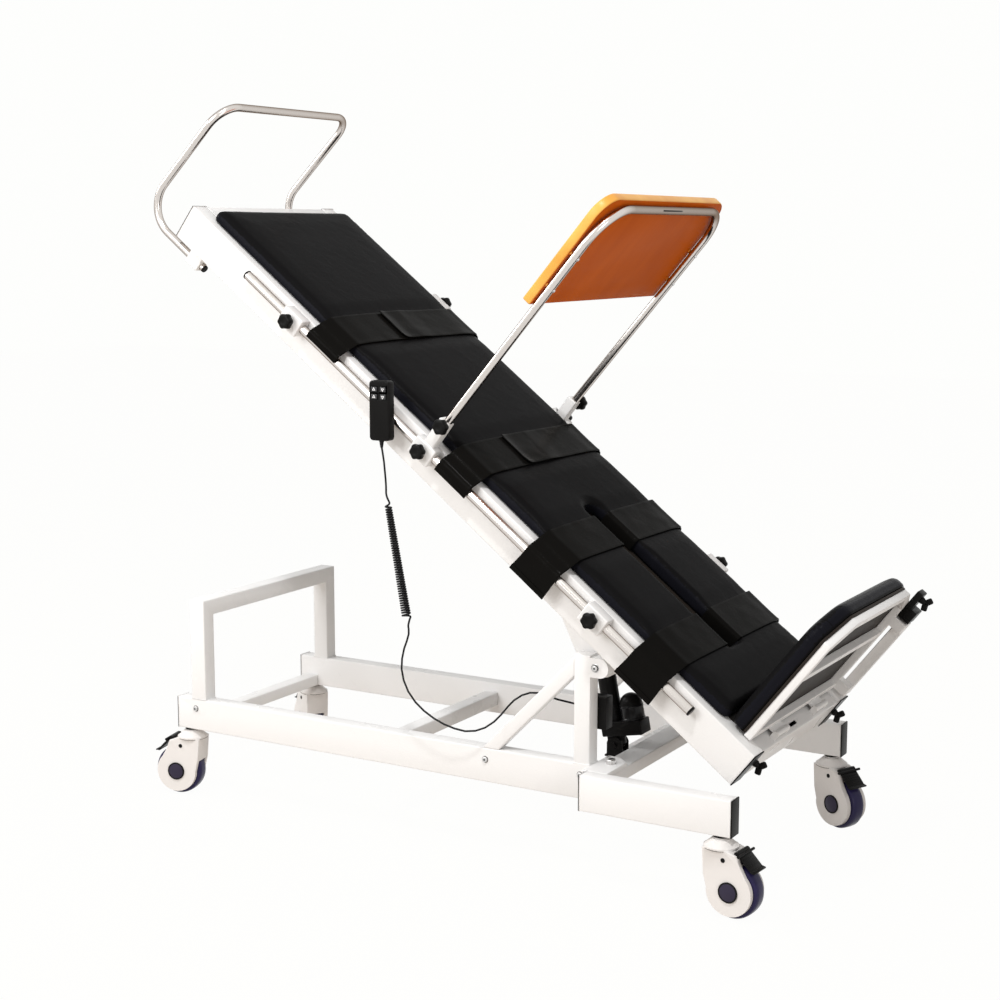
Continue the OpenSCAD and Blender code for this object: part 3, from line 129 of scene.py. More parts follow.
def bumps(made, value, depth, strength=1.0):
    """Relief of the surface from a pattern, its depth in metres. Several add up."""
    tree = made.node_tree
    shader = tree.nodes["Principled BSDF"]
    bump = tree.nodes.new("ShaderNodeBump")
    bump.inputs["Distance"].default_value = depth
    bump.inputs["Strength"].default_value = strength
    tree.links.new(value, bump.inputs["Height"])
    before = [link.from_socket for link in shader.inputs["Normal"].links]
    if before:
        tree.links.new(before[0], bump.inputs["Normal"])
    tree.links.new(bump.outputs["Normal"], shader.inputs["Normal"])


def between(made, value, low, high, socket="Base Color", edges=(0.35, 0.65)):
    """Turns a pattern into a colour or a number of the shader, between two values."""
    tree = made.node_tree
    shader = tree.nodes["Principled BSDF"]
    ramp = tree.nodes.new("ShaderNodeValToRGB")
    ramp.color_ramp.elements[0].position = edges[0]
    ramp.color_ramp.elements[1].position = edges[1]
    colours = [(*v, 1) if hasattr(v, "__len__") else (v, v, v, 1) for v in (low, high)]
    ramp.color_ramp.elements[0].color = colours[0]
    ramp.color_ramp.elements[1].color = colours[1]
    tree.links.new(value, ramp.inputs["Fac"])
    tree.links.new(ramp.outputs["Color"], shader.inputs[socket])


def shown(name, mesh, body, materials, nodes=(), sharp=35):
    """Puts a finished mesh in the scene: its finish, its shading, what it rides on and stands for."""
    made = bpy.data.objects.new(name, mesh)
    scene.collection.objects.link(made)
    for one in materials:
        mesh.materials.append(one)
    mesh.shade_smooth()
    mesh.set_sharp_from_angle(angle=math.radians(sharp))
    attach(made, body)
    if nodes:
        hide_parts(*nodes)
    return made


def tube_mesh(name, points, radius, sides, closed=False):
    """A round tube along points: a bevelled curve of one spline, made a mesh."""
    curve = bpy.data.curves.new(name, "CURVE")
    curve.dimensions = "3D"
    curve.bevel_depth = radius
    curve.bevel_resolution = sides
    curve.use_fill_caps = True
    spline = curve.splines.new("POLY")
    spline.points.add(len(points) - 1)
    spline.use_cyclic_u = closed
    for place, point in zip(spline.points, points):
        place.co = (*point, 1)
    drawn = bpy.data.objects.new(name, curve)
    mesh = bpy.data.meshes.new_from_object(drawn)
    bpy.data.objects.remove(drawn)
    bpy.data.curves.remove(curve)
    return mesh


def eased(value, low, high):
    """A share from 0 to 1 that rises smoothly as a value goes from low to high."""
    share = min(1, max(0, (value - low) / (high - low)))
    return share * share * (3 - 2 * share)


cord_black = material("cord_jacket", (0.011, 0.011, 0.012), 0.32, shine=0.12)
bumps(cord_black, pattern(cord_black, "noise", 900), 0.0002)

curl_run = curl_low - curl_top
curl_along = curl_run.normalized()
curl_across = curl_along.cross(Vector((0, 1, 0))).normalized()
curl_side = curl_along.cross(curl_across)
cord_line = [Vector(p) for p in lead_points[:-1]] + [curl_top]
turn = 0.0
for step in range(curls * curl_steps + 1):
    # The cord swings out to the curls' radius before it winds, so that no bend is tighter than a curl
    share = step / (curls * curl_steps)
    from_end = min(share, 1 - share)
    widen = eased(from_end, 0, curl_ends)
    winding = eased(from_end, 0.6 * curl_ends, 1.4 * curl_ends) / (1 - 2 * curl_ends)
    turn += 2 * math.pi / curl_steps * winding
    radius = widen * (curl_radius_top + (curl_radius_low - curl_radius_top) * share)
    middle = curl_top + curl_along * curl_lead + (curl_run - 2 * curl_along * curl_lead) * share
    cord_line.append(middle + radius * (math.cos(turn) * curl_across + math.sin(turn) * curl_side))
cord_line += [curl_low] + [Vector(p) for p in tail_points[1:]]
cord_line = [p + head_end for p in cord_line]

# The cord is one round tube along this line, from the handset on the table to the control box on the base
cord_tube = tube_mesh("handset_flex", cord_line, cord_across / 2, cord_sides)
cord = bpy.data.objects.new("handset_flex", cord_tube)
scene.collection.objects.link(cord)
cord.data.materials.append(cord_black)
cord.data.shade_smooth()
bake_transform(cord)
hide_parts("handset_cord", "handset_coil")


# The welded base: rectangular steel tube, its corners drawn to a small radius, ground at
# the welds and covered in white powder coat with a faint orange peel.
white_coat = material("white_coat", (0.87, 0.865, 0.86), 0.3, shine=0.12)
bumps(white_coat, pattern(white_coat, "noise", 260, detail=1.0), 0.00025)
between(white_coat, pattern(white_coat, "noise", 9), 0.25, 0.38, "Roughness")


def softened(node, radius, shortest, material_made, body, segments=3, sharp=50):
    """A copy of a CAD node whose long outer edges are rounded, as drawn tube and pressed plate are."""
    bm = bmesh.new()
    bm.from_mesh(frame["nodes"][node].data)
    bmesh.ops.remove_doubles(bm, verts=bm.verts, dist=2e-5)
    bmesh.ops.dissolve_limit(bm, angle_limit=math.radians(0.4), verts=bm.verts, edges=bm.edges)
    corners = [e for e in bm.edges if len(e.link_faces) == 2 and e.is_convex
               and e.calc_length() > shortest and e.calc_face_angle(0) > math.radians(sharp)]
    bmesh.ops.bevel(bm, geom=corners, offset=radius, offset_type="OFFSET", affect="EDGES",
                    segments=segments, profile=0.5, material=-1, clamp_overlap=False)
    mesh = bpy.data.meshes.new(node)
    bm.to_mesh(mesh)
    bm.free()
    return shown(node + "_finish", mesh, body, [material_made], [node], sharp=28)


tube_corner = 0.003
for node in ("main_rails", "front_legs", "head_arch", "pivot_posts", "diagonal_braces", "cross_members"):
    softened(node, tube_corner, 0.028, white_coat, "base")


def joined(name, parts):
    """One mesh of several shapes, each a bmesh with the place that it is turned and moved to."""
    whole = bmesh.new()
    for bm, place in parts:
        bm.transform(place)
        bmesh.ops.recalc_face_normals(bm, faces=bm.faces)
        piece = bpy.data.meshes.new(name)
        bm.to_mesh(piece)
        bm.free()
        whole.from_mesh(piece)
        bpy.data.meshes.remove(piece)
    mesh = bpy.data.meshes.new(name)
    whole.to_mesh(mesh)
    whole.free()
    return mesh


def weld(corners, radius=0.0017):
    """A bead of weld along a closed line of corners."""
    bm = bmesh.new()
    bm.from_mesh(tube_mesh("weld", corners, radius, 1, closed=True))
    return bm


def square_loop(low, high):
    """The four corners of a level rectangle."""
    corners = ((low.x, low.y), (high.x, low.y), (high.x, high.y), (low.x, high.y))
    return [Vector((x, y, low.z)) for x, y in corners]


# Weld beads round the feet of the arch and of the posts, ground flush on top
tube_wide = 0.04
arch_low, arch_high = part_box("head_arch")
post_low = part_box("pivot_posts")[0]
bead_inset = 0.0008
bead_lift = 0.0004
beads = []
for near_x, far_x in ((arch_low.x, arch_high.x), (post_low.x, post_low.x + tube_wide)):
    for y in (rail_low.y, rail_high.y - tube_wide):
        low = Vector((near_x, y + bead_inset, rail_high.z + bead_lift))
        high = Vector((far_x, y + tube_wide - bead_inset, 0))
        beads.append((weld(square_loop(low, high)), Matrix()))
shown("weld_beads", joined("weld_beads", beads), "base", [white_coat])


# Black parts of the base: pressed-in end caps, the actuator's bracket and the control box,
# moulded or coated matt black with a fine spark texture. The bolts are zinc plated.
moulded_black = material("moulded_black", (0.0085, 0.0082, 0.008), 0.3, shine=0.06)
bumps(moulded_black, pattern(moulded_black, "noise", 1400), 0.0001)
for node in ("rail_end_caps", "actuator_bracket", "control_box"):
    softened(node, 0.0012, 0.02, moulded_black, "base")

zinc = material("zinc_plate", (0.62, 0.61, 0.6), 0.28, 1.0)
between(zinc, pattern(zinc, "noise", 60), 0.22, 0.42, "Roughness")
softened("frame_bolts", 0.0016, 0.0005, zinc, "base")

joints = {joint["name"]: joint for joint in frame["record"]["behaviour"]["joints"]}


def spun(profile, segments=48):
    """A lathe-turned shape about Z, from points of radius and height."""
    bm = bmesh.new()
    line = [bm.verts.new((r, 0, z)) for r, z in profile]
    edges = [bm.edges.new(pair) for pair in zip(line, line[1:])]
    bmesh.ops.spin(bm, geom=line + edges, cent=(0, 0, 0), axis=(0, 0, 1), dvec=(0, 0, 0),
                   angle=2 * math.pi, steps=segments, use_merge=True, use_duplicate=False)
    bmesh.ops.remove_doubles(bm, verts=bm.verts, dist=1e-6)
    return bm


def boxy(size, radius=0.0, segments=2):
    """A block about its middle with its edges rounded."""
    bm = bmesh.new()
    bmesh.ops.create_cube(bm, size=1)
    bmesh.ops.scale(bm, vec=size, verts=bm.verts)
    if radius:
        bmesh.ops.bevel(bm, geom=bm.edges[:], offset=radius, offset_type="OFFSET", affect="EDGES",
                        segments=segments, profile=0.5, material=-1)
    return bm


def standing(centre, axis):
    """Where a shape drawn about Z goes: its foot at a centre and its Z along an axis."""
    return Matrix.Translation(centre) @ Vector(axis).to_track_quat("Z", "Y").to_matrix().to_4x4()


# Painted shade on the bolts: a dark disc on each head for the shade in its socket and a dark ring round the
# head's foot for the shade against the rail, so that they read as fasteners
bolt_painted_shade = material("bolt_shadow", (0.03, 0.028, 0.026), 0.5)
bolt_places = [(0.058, 0.231), (0.918, 0.229), (1.165, 0.231), (1.2009, 0.4801)]
head_shade_ring = [(0.0068, 0.0001), (0.0078, 0.0001), (0.0078, 0.0006), (0.0068, 0.0006), (0.0068, 0.0001)]
socket = [(0, 0.0051), (0.0026, 0.0051), (0.0026, 0.0053), (0, 0.0053)]
rings = []
for x, z in bolt_places:
    for y, way in ((rail_low.y, -1), (rail_high.y, 1)):
        for outline, segments in ((head_shade_ring, 32), (socket, 6)):
            rings.append((spun(outline, segments), standing(Vector((rail_low.x + x, y, z)), (0, way, 0))))
shown("bolt_marks", joined("bolt_marks", rings), "base", [bolt_painted_shade])


# The casters: hospital type, a cream nylon hood and cheeks over a navy tyre, a dark cap on
# each end of the axle, and a black brake pedal with a ribbed tread.
nylon_cream = material("nylon_cream", (0.79, 0.765, 0.745), 0.3, shine=0.12)
bumps(nylon_cream, pattern(nylon_cream, "noise", 500), 0.00012)
tyre_navy = material("tyre_navy", (0.024, 0.02, 0.07), 0.25, shine=0.15)
cap_navy = material("cap_navy", (0.034, 0.028, 0.052), 0.3, shine=0.15)


def roller(radius, half, ease, ease_along):
    """Outline of a round bar about its middle, with eased ends."""
    return [(0.0, -half), (radius - ease, -half), (radius, -half + ease_along),
            (radius, half - ease_along), (radius - ease, half), (0.0, half)]


cheek_outside = 0.0315
hood_top = 0.148
half_tread = [(0.0, 0.0175), (0.048, 0.0175), (0.0555, 0.018), (0.0598, 0.0165), (0.0618, 0.013),
              (0.0624, 0.007)]
tread = [(r, -z) for r, z in half_tread] + [(0.0625, 0.0)] + half_tread[::-1]
hub_cap = [(0.0, 0.0026), (0.0185, 0.0026), (0.0192, 0.0022), (0.0195, 0.0), (0.0, 0.0)]
hub_rim = [(0.0194, 0.0), (0.0194, 0.0024), (0.0202, 0.0031), (0.0216, 0.0031), (0.0225, 0.0024), (0.0225, 0.0)]
# Painted shade: a thin black ring round the hood stands in for the shadow in its groove.
hood_groove_shade = [(0.0376, hood_top), (0.0383, hood_top + 0.0003), (0.0383, hood_top + 0.001),
               (0.0376, hood_top + 0.0013)]
stem_collar = [(0.0125, 0.1705), (0.0172, 0.1705), (0.0178, 0.1712), (0.0178, 0.1742), (0.0172, 0.1748),
               (0.0125, 0.1748)]
cheek_screw = [(0.0, 0.0006), (0.0022, 0.0006), (0.0028, 0.0012), (0.0046, 0.0012), (0.0051, 0.0007),
               (0.0051, -0.0004)]
cheek_screw_place = (0.0205, 0.031, 0.13)
pedal_roll = roller(0.0066, 0.0255, 0.0008, 0.0008)
pedal_rod = roller(0.0031, 0.036, 0.0005, 0.0006)
pedal_shoe = roller(0.0034, 0.023, 0.0008, 0.0008)
along_across = Matrix.Rotation(math.radians(90), 4, "X")
for corner in ("near_head", "far_head", "near_foot", "far_foot"):
    swivel = Vector(joints["caster_swivel_" + corner]["pos_m"])
    axle = Vector(joints["wheel_spin_" + corner]["pos_m"])
    across = Vector(joints["wheel_spin_" + corner]["axis"])
    trail = (Vector((axle.x, axle.y, 0)) - Vector((swivel.x, swivel.y, 0))).normalized()
    softened("caster_fork_" + corner, 0.002, 0.01, nylon_cream, "caster_" + corner)
    shown("tyre_" + corner, joined("tyre", [(spun(tread, 96), standing(axle, across))]), "wheel_" + corner,
          [tyre_navy], ["caster_wheel_" + corner])
    ends = [(side, standing(axle + across * side * cheek_outside, across * side)) for side in (-1, 1)]
    shown("hub_cap_" + corner, joined("hub_cap", [(spun(hub_cap, 48), place) for _, place in ends]),
          "wheel_" + corner, [cap_navy])
    shown("hub_rim_" + corner, joined("hub_rim", [(spun(hub_rim, 48), place) for _, place in ends]),
          "wheel_" + corner, [moulded_black])
    ground = Vector((swivel.x, swivel.y, 0))
    marks = [(spun(outline, segments), Matrix.Translation(ground))
             for outline, segments in ((hood_groove_shade, 64), (stem_collar, 48))]
    for side in (-1, 1):
        back, out, up = cheek_screw_place
        middle = ground + trail * back + Vector((0, 0, up)) + across * side * out
        marks.append((spun(cheek_screw, 24), standing(middle, across * side)))
    shown("caster_trim_" + corner, joined("caster_trim", marks), "caster_" + corner,
          [moulded_black])
    caster_place = Matrix.Translation(ground) @ Matrix((
        (trail.x, across.x, 0, 0), (trail.y, across.y, 0, 0), (0, 0, 1, 0), (0, 0, 0, 1)))
    plate_place = Matrix.Translation((0.0676, 0, 0.1311)) @ Matrix.Rotation(math.radians(45), 4, "Y")
    sloped = caster_place @ plate_place
    lip_place = Matrix.Translation((0.026, 0, 0.0022)) @ Matrix.Rotation(math.radians(-32), 4, "Y")
    pedal = [(boxy((0.047, 0.051, 0.0042), 0.0012), sloped),
             (boxy((0.011, 0.053, 0.0036), 0.0012), sloped @ lip_place),
             (boxy((0.012, 0.03, 0.01), 0.002), caster_place @ Matrix.Translation((0.0455, 0, 0.1385)))]
    for outline, segments, middle in ((pedal_roll, 32, (0.0495, 0, 0.1455)),
                                      (pedal_rod, 24, (0.0585, 0, 0.1455)),
                                      (pedal_shoe, 24, (0.0857, 0, 0.1137))):
        pedal.append((spun(outline, segments), caster_place @ Matrix.Translation(middle) @ along_across))
    for rib in range(4):
        pedal.append((boxy((0.0022, 0.045, 0.0024), 0.0007),
                      sloped @ Matrix.Translation((0.006 * rib - 0.006, 0, 0.0024))))
    shown("brake_pedal_" + corner, joined("brake_pedal", pedal), "pedal_" + corner,
          [moulded_black], ["caster_pedal_" + corner])


# The table's welded frame, in the same tube and coat as the base, closed by black caps. It
# carries the table's own axes: along it from the head end, across it, and square to it.
table_along = Vector(next(m["axis"] for m in frame["record"]["mounts"] if m["name"] == "near_side_rail"))
table_square = Vector((-table_along.z, 0, table_along.x))
side_low, side_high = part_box("side_members")
side_span = side_high - side_low
tilt_cos, tilt_sin = table_along.x, -table_along.z
frame_depth = (side_span.z * tilt_cos - side_span.x * tilt_sin) / (tilt_cos ** 2 - tilt_sin ** 2)
frame_length = (side_span.x * tilt_cos - side_span.z * tilt_sin) / (tilt_cos ** 2 - tilt_sin ** 2)
frame_half = side_span.y / 2
table_origin = Vector((side_low.x + frame_depth * tilt_sin, (side_low.y + side_high.y) / 2, side_high.z))
table_place = Matrix.Translation(table_origin) @ Matrix((
    (tilt_cos, 0, tilt_sin, 0), (0, 1, 0, 0), (-tilt_sin, 0, tilt_cos, 0), (0, 0, 0, 1)))
for node in ("side_members", "table_cross_members", "pivot_hangers", "rail_blocks", "handle_sockets"):
    softened(node, tube_corner, 0.025, white_coat, "table")
softened("frame_end_caps", 0.0012, 0.02, moulded_black, "table")

# The deck: a painted board let in between the side members, under the mattress
board_grey = material("board_grey", (0.03, 0.0245, 0.0205), 0.5, shine=0.05)
bumps(board_grey, pattern(board_grey, "noise", 700), 0.0002)


def refinish(node, *materials):
    """Gives a CAD node, whose shape is right as it is, its real finish."""
    mesh = frame["nodes"][node].data
    mesh.materials.clear()
    for one in materials:
        mesh.materials.append(one)


refinish("deck_panel", board_grey)

# The steel rails, the handle and the tray's frame: stainless tube, polished along its length,
# with black plugs in its open ends.
stainless = material("stainless", (0.76, 0.72, 0.69), 0.12, 1.0)
between(stainless, pattern(stainless, "noise", 12), 0.19, 0.23, "Roughness")
# Painted reflection: the steel's colour runs from pale where it faces the camera to dark brown where it turns
# away, standing in for a bright middle and dark surroundings mirrored at the tube's edges.
painted_reflection_falloff = stainless.node_tree.nodes.new("ShaderNodeLayerWeight")
painted_reflection_falloff.inputs["Blend"].default_value = 0.5
between(stainless, painted_reflection_falloff.outputs["Facing"], (0.7, 0.655, 0.62), (0.24, 0.19, 0.155),
        edges=(0.3, 0.85))
stainless.node_tree.nodes["Principled BSDF"].inputs["Specular Tint"].default_value = (0.42, 0.36, 0.32, 1)
for node in ("side_rails", "head_handle", "tray_frame"):
    refinish(node, stainless)

rail_radius = 0.011
rail_y = frame_half + 0.0043 + rail_radius
rail_drop = 0.022
rail_start = 0.24
rail_inset = 0.165
plug = [(0.0, 0.0), (0.0112, 0.0), (0.0116, 0.0004), (0.0116, 0.0036), (0.0106, 0.0048), (0.0, 0.0052)]
plugs = [(spun(plug, 40), table_place @ standing(Vector((s, side * rail_y, -rail_drop)), (way, 0, 0)))
         for side in (-1, 1) for s, way in ((rail_start, -1), (frame_length - rail_inset, 1))]
shown("rail_plugs", joined("rail_plugs", plugs), "table", [moulded_black])

bent_radius = 0.0095
handle_across = frame_half - 0.0232
handle_end = 0.1
handle_drop = 0.113
handle_plug = [(0.0, 0.0), (0.0088, 0.0), (0.0092, 0.0006), (0.0092, 0.003), (0.0084, 0.0042),
               (0.0, 0.0046)]
plugs = []
for side in (-1, 1):
    middle = Vector((handle_end, side * handle_across, -handle_drop))
    plugs.append((spun(handle_plug, 40), table_place @ standing(middle, (1, 0, 0))))
shown("handle_plugs", joined("handle_plugs", plugs), "handle", [moulded_black])


# The mattress: a foam slab on the deck in one piece of black vinyl, with a slot between the
# legs. The foam swells a little between the straps and is held down under them.
strap_places = {"chest": 0.516, "hip": 0.974, "knee": 1.262, "ankle": 1.594}
strap_width = 0.1
pad_voxel = 0.006
pad_swell = 0.0035
vinyl = material("black_vinyl", (0.0078, 0.0076, 0.008), 0.24, shine=0.008)
bumps(vinyl, pattern(vinyl, "cell", 620), 0.00012)
bumps(vinyl, pattern(vinyl, "noise", 38), 0.0006)
# Painted reflection: a bluer, shinier copy of the vinyl for the pads' sides, standing in for bluish light
# mirrored along their edges.
vinyl_sides_painted_reflection = material("vinyl_sides_painted_reflection", (0.0085, 0.0086, 0.0118), 0.24, shine=0.02)
bumps(vinyl_sides_painted_reflection, pattern(vinyl_sides_painted_reflection, "cell", 620), 0.00012)
bumps(vinyl_sides_painted_reflection, pattern(vinyl_sides_painted_reflection, "noise", 38), 0.0006)


def kneaded(node, voxel, rounds):
    """A copy of a CAD solid, remeshed finely and eased until its edges are as soft as foam's."""
    copy = bpy.data.objects.new(node + "_foam", frame["nodes"][node].data.copy())
    scene.collection.objects.link(copy)
    bm = bmesh.new()
    bm.from_mesh(copy.data)
    bmesh.ops.remove_doubles(bm, verts=bm.verts, dist=2e-5)
    bm.to_mesh(copy.data)
    bm.free()
    remesh = copy.modifiers.new("remesh", "REMESH")
    remesh.mode = "VOXEL"
    remesh.voxel_size = voxel
    mesh = bpy.data.meshes.new_from_object(copy.evaluated_get(bpy.context.evaluated_depsgraph_get()))
    copy.modifiers.clear()
    bm = bmesh.new()
    bm.from_mesh(mesh)
    for _ in range(rounds):
        bmesh.ops.smooth_vert(bm, verts=bm.verts, factor=0.5,
                              use_axis_x=True, use_axis_y=True, use_axis_z=True)
    bm.to_mesh(mesh)
    bm.free()
    mesh.materials.clear()
    copy.data = mesh
    return copy


def swollen(pad, allowed, pressure=20.0, steps=6):
    """Blows the foam up as cloth and keeps each point within what allowed(point) says."""
    start = [v.co.copy() for v in pad.data.vertices]
    cloth = pad.modifiers.new("cloth", "CLOTH")
    cloth.settings.quality = 3
    cloth.settings.use_pressure = True
    cloth.settings.uniform_pressure_force = pressure
    cloth.settings.effector_weights.gravity = 0
    for step in range(1, steps + 1):
        scene.frame_set(step)
    blown = pad.evaluated_get(bpy.context.evaluated_depsgraph_get()).data
    moved = [v.co.copy() for v in blown.vertices]
    pad.modifiers.clear()
    scene.frame_set(1)
    for vertex, before, after in zip(pad.data.vertices, start, moved):
        way = after - before
        most = allowed(before)
        vertex.co = before + (way if way.length <= most else way.normalized() * most)


to_table = table_place.inverted()


def mattress_room(point):
    """How far the foam may swell: not at all under a strap or at the deck."""
    place = to_table @ point
    from_strap = min(abs(place.x - s) for s in strap_places.values()) - strap_width / 2
    return pad_swell * eased(from_strap, -0.004, 0.05) * eased(place.z, 0.004, 0.014)


def upholstered(pad, name, body, node, top):
    """The pad's cover: black vinyl, with a bluer copy on its sides as painted reflection, and what it rides on
    and stands for.
    """
    pad.name = name
    pad.data.materials.append(vinyl)
    pad.data.materials.append(vinyl_sides_painted_reflection)
    # Painted reflection: faces turned sideways to the pad's top take the bluer copy of the vinyl.
    for face in pad.data.polygons:
        face.material_index = 1 if abs(face.normal.dot(top)) < 0.45 else 0
    pad.data.shade_smooth()
    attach(pad, body)
    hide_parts(node)


mattress = kneaded("mattress", pad_voxel, 5)
swollen(mattress, mattress_room)
pad_bm = bmesh.new()
pad_bm.from_mesh(mattress.data)
pad_tree = BVHTree.FromBMesh(pad_bm)
pad_bm.free()
upholstered(mattress, "mattress_cover", "table", "mattress", table_square)


# The straps: bands of black leatherette over a web core, riveted under the side rail. They
# fold over the rail and the mattress's edge; across the body the far half laps the near one.
strap_thick = 0.0026
strap_gap = 0.0006
pad_across = frame_half - 0.0194
pad_edge_top = 0.0273
strap_black = material("strap_black", (0.0062, 0.0058, 0.0052), 0.17, shine=0.012)
bumps(strap_black, pattern(strap_black, "cell", 900), 0.00006)
bumps(strap_black, pattern(strap_black, "noise", 22), 0.0012, 0.6)


def pad_height(along, across):
    """Height of the mattress over the frame at a place, found by looking down on it."""
    highest = 0.0
    for shift in (-0.045, 0, 0.045):
        hit = pad_tree.ray_cast(table_place @ Vector((along + shift, across, 0.2)), -table_square)
        if hit[0] is not None:
            highest = max(highest, (to_table @ hit[0]).z)
    return highest


def flowing(points, gap=0.004):
    """Points along a smooth curve that passes through the given ones."""
    line = []
    for i in range(len(points) - 1):
        near = [max(0, min(len(points) - 1, k)) for k in (i - 1, i, i + 1, i + 2)]
        before, a, b, after = (Vector(points[k]) for k in near)
        count = max(2, round((b - a).length / gap))
        for k in range(count):
            t = k / count
            line.append(0.5 * (2 * a + (b - before) * t + (2 * before - 5 * a + 4 * b - after) * t * t
                               + (3 * a - before - 3 * b + after) * t ** 3))
    line.append(Vector(points[-1]))
    return line


def strap_line(along, side, tail, stops):
    """A strap's line from its tail, outside the rail and over the pad's edge, to the stops on the pad.
    Each stop is a distance from the centreline and a lift over the pad."""
    if tail > 0.05:
        line = [(rail_y + 0.022, -tail), (rail_y + 0.016, -tail * 0.6)]
    else:
        line = [(rail_y + 0.012, -tail)]
    line += [(rail_y + 0.0118, -0.014), (rail_y + 0.0075, -0.003), (frame_half + 0.006, 0.008),
             (frame_half - 0.005, 0.0175), (pad_across + 0.0035, pad_edge_top - 0.0035),
             (pad_across - 0.003, pad_edge_top + 0.0012), (pad_across - 0.011, pad_edge_top + 0.0024)]
    return line + [(y, pad_height(along, side * y) + strap_gap + lift) for y, lift in stops]


def band(name, along, side, line, corner=0.0, flare=0.0, seed=0.0):
    """A strap laid along a line in the table's cross-section, with its thickness outside. The last
    corners can be rounded, the tail can flare, and its leather waves a little."""
    columns = 17
    points = flowing(line)
    runs = [0.0]
    for a, b in zip(points, points[1:]):
        runs.append(runs[-1] + (b - a).length)
    bm = bmesh.new()
    run = bm.verts.layers.float.new("run")
    start = []
    for place, (y, n) in zip(runs, points):
        start.append(bm.verts.new((along - strap_width / 2, side * y, n)))
        start[-1][run] = place
    edges = [bm.edges.new(pair) for pair in zip(start, start[1:])]
    for _ in range(columns - 1):
        made = bmesh.ops.extrude_edge_only(bm, edges=edges)["geom"]
        new = [g for g in made if isinstance(g, bmesh.types.BMVert)]
        edges = [g for g in made if isinstance(g, bmesh.types.BMEdge) and all(v in new for v in g.verts)]
        bmesh.ops.translate(bm, vec=(strap_width / (columns - 1), 0, 0), verts=new)
    bmesh.ops.recalc_face_normals(bm, faces=bm.faces)
    bm.normal_update()
    if max(bm.faces, key=lambda f: abs(f.normal.z)).normal.z < 0:
        bmesh.ops.reverse_faces(bm, faces=bm.faces)
        bm.normal_update()
    moves = []
    for vertex in bm.verts:
        left = max(0.0, runs[-1] - vertex[run])
        share = (vertex.co.x - along) / (strap_width / 2)
        narrow = 1.0
        if left < corner and share > 0:
            narrow = 1 - (corner - math.sqrt(corner ** 2 - (corner - left) ** 2)) / (strap_width / 2)
        widen = 1 + flare * (1 - eased(vertex[run], 0.0, 0.05))
        wave = noise.noise(Vector((vertex.co.x * 26 + seed, vertex[run] * 17, seed)))
        lift = 0.0011 * max(0.0, wave) + 0.0009 * abs(share) ** 6
        moves.append((vertex, along + share * strap_width / 2 * narrow * widen, vertex.normal * lift))
    for vertex, x, lift in moves:
        vertex.co = Vector((x, vertex.co.y, vertex.co.z)) + lift
    bmesh.ops.solidify(bm, geom=bm.faces[:], thickness=-strap_thick)
    bmesh.ops.recalc_face_normals(bm, faces=bm.faces)
    rims = [e for e in bm.edges if len(e.link_faces) == 2 and e.calc_face_angle(0) > math.radians(60)]
    bmesh.ops.bevel(bm, geom=rims, offset=0.0007, offset_type="OFFSET", affect="EDGES", segments=2,
                    profile=0.5, material=-1, clamp_overlap=True)
    bm.transform(table_place)
    return bm


def hem(along, side, line, wide=1.0, deep=0.012):
    """The doubled end of a tail, stitched back on its outside."""
    points = flowing(line)
    out = (points[0] - points[3]).normalized()
    middle = points[0] - out * (deep / 2 + 0.001)
    lie = Matrix.Translation((along, side * (middle.x + 0.0026), middle.y)) @ Matrix.Rotation(
        -side * math.atan2(out.x, -out.y), 4, "X")
    return boxy((strap_width * wide, 0.0022, deep), 0.0007), table_place @ lie


lap = strap_thick + strap_gap
pad_stops = (0.246, 0.209, 0.16, 0.104)
body_bands = []
body_hems = []
for name, tail, flap in (("chest", 0.021, 0.072), ("hip", 0.034, 0.1)):
    along = strap_places[name]
    near = strap_line(along, -1, tail, [(y, 0) for y in pad_stops] + [(0.052, 0), (0, 0), (-0.008, 0)])
    far = strap_line(along, 1, tail, [(y, 0) for y in pad_stops] + [
        (0.07, 0.0006), (0.04, lap * 0.6), (0.01, lap), (-0.01, lap), (0.03 - flap, lap + 0.0004),
        (-flap, lap + 0.0034)])
    body_bands += [(band(name, along, -1, near, seed=along), Matrix()),
                   (band(name, along, 1, far, corner=0.014, seed=along + 3), Matrix())]
    body_hems += [hem(along, -1, near), hem(along, 1, far)]
leg_bands = []
leg_hems = []
slot_middle, slot_half = 0.014, 0.037
for name in ("knee", "ankle"):
    along = strap_places[name]
    for side in (-1, 1):
        edge = slot_half - side * slot_middle if side > 0 else slot_half + slot_middle
        top = pad_height(along, side * (edge + 0.014))
        stops = [(y, 0) for y in pad_stops if y > edge + 0.03] + [(edge + 0.014, 0)]
        line = strap_line(along, side, 0.072, stops) + [
            (edge + 0.003, top + 0.0006), (edge - 0.0016, top - 0.003), (edge - 0.0022, top - 0.009),
            (edge - 0.0018, 0.002)]
        leg_bands.append((band(name, along, side, line, flare=0.05, seed=along + side), Matrix()))
        leg_hems.append(hem(along, side, line, 1.05))
for node, bands in (("body_strap", body_bands), ("leg_strap", leg_bands)):
    shown(node + "_bands", joined(node + "s", bands), "table", [strap_black], [node + "s"])
shown("strap_hems", joined("strap_hems", body_hems + leg_hems), "table", [strap_black])


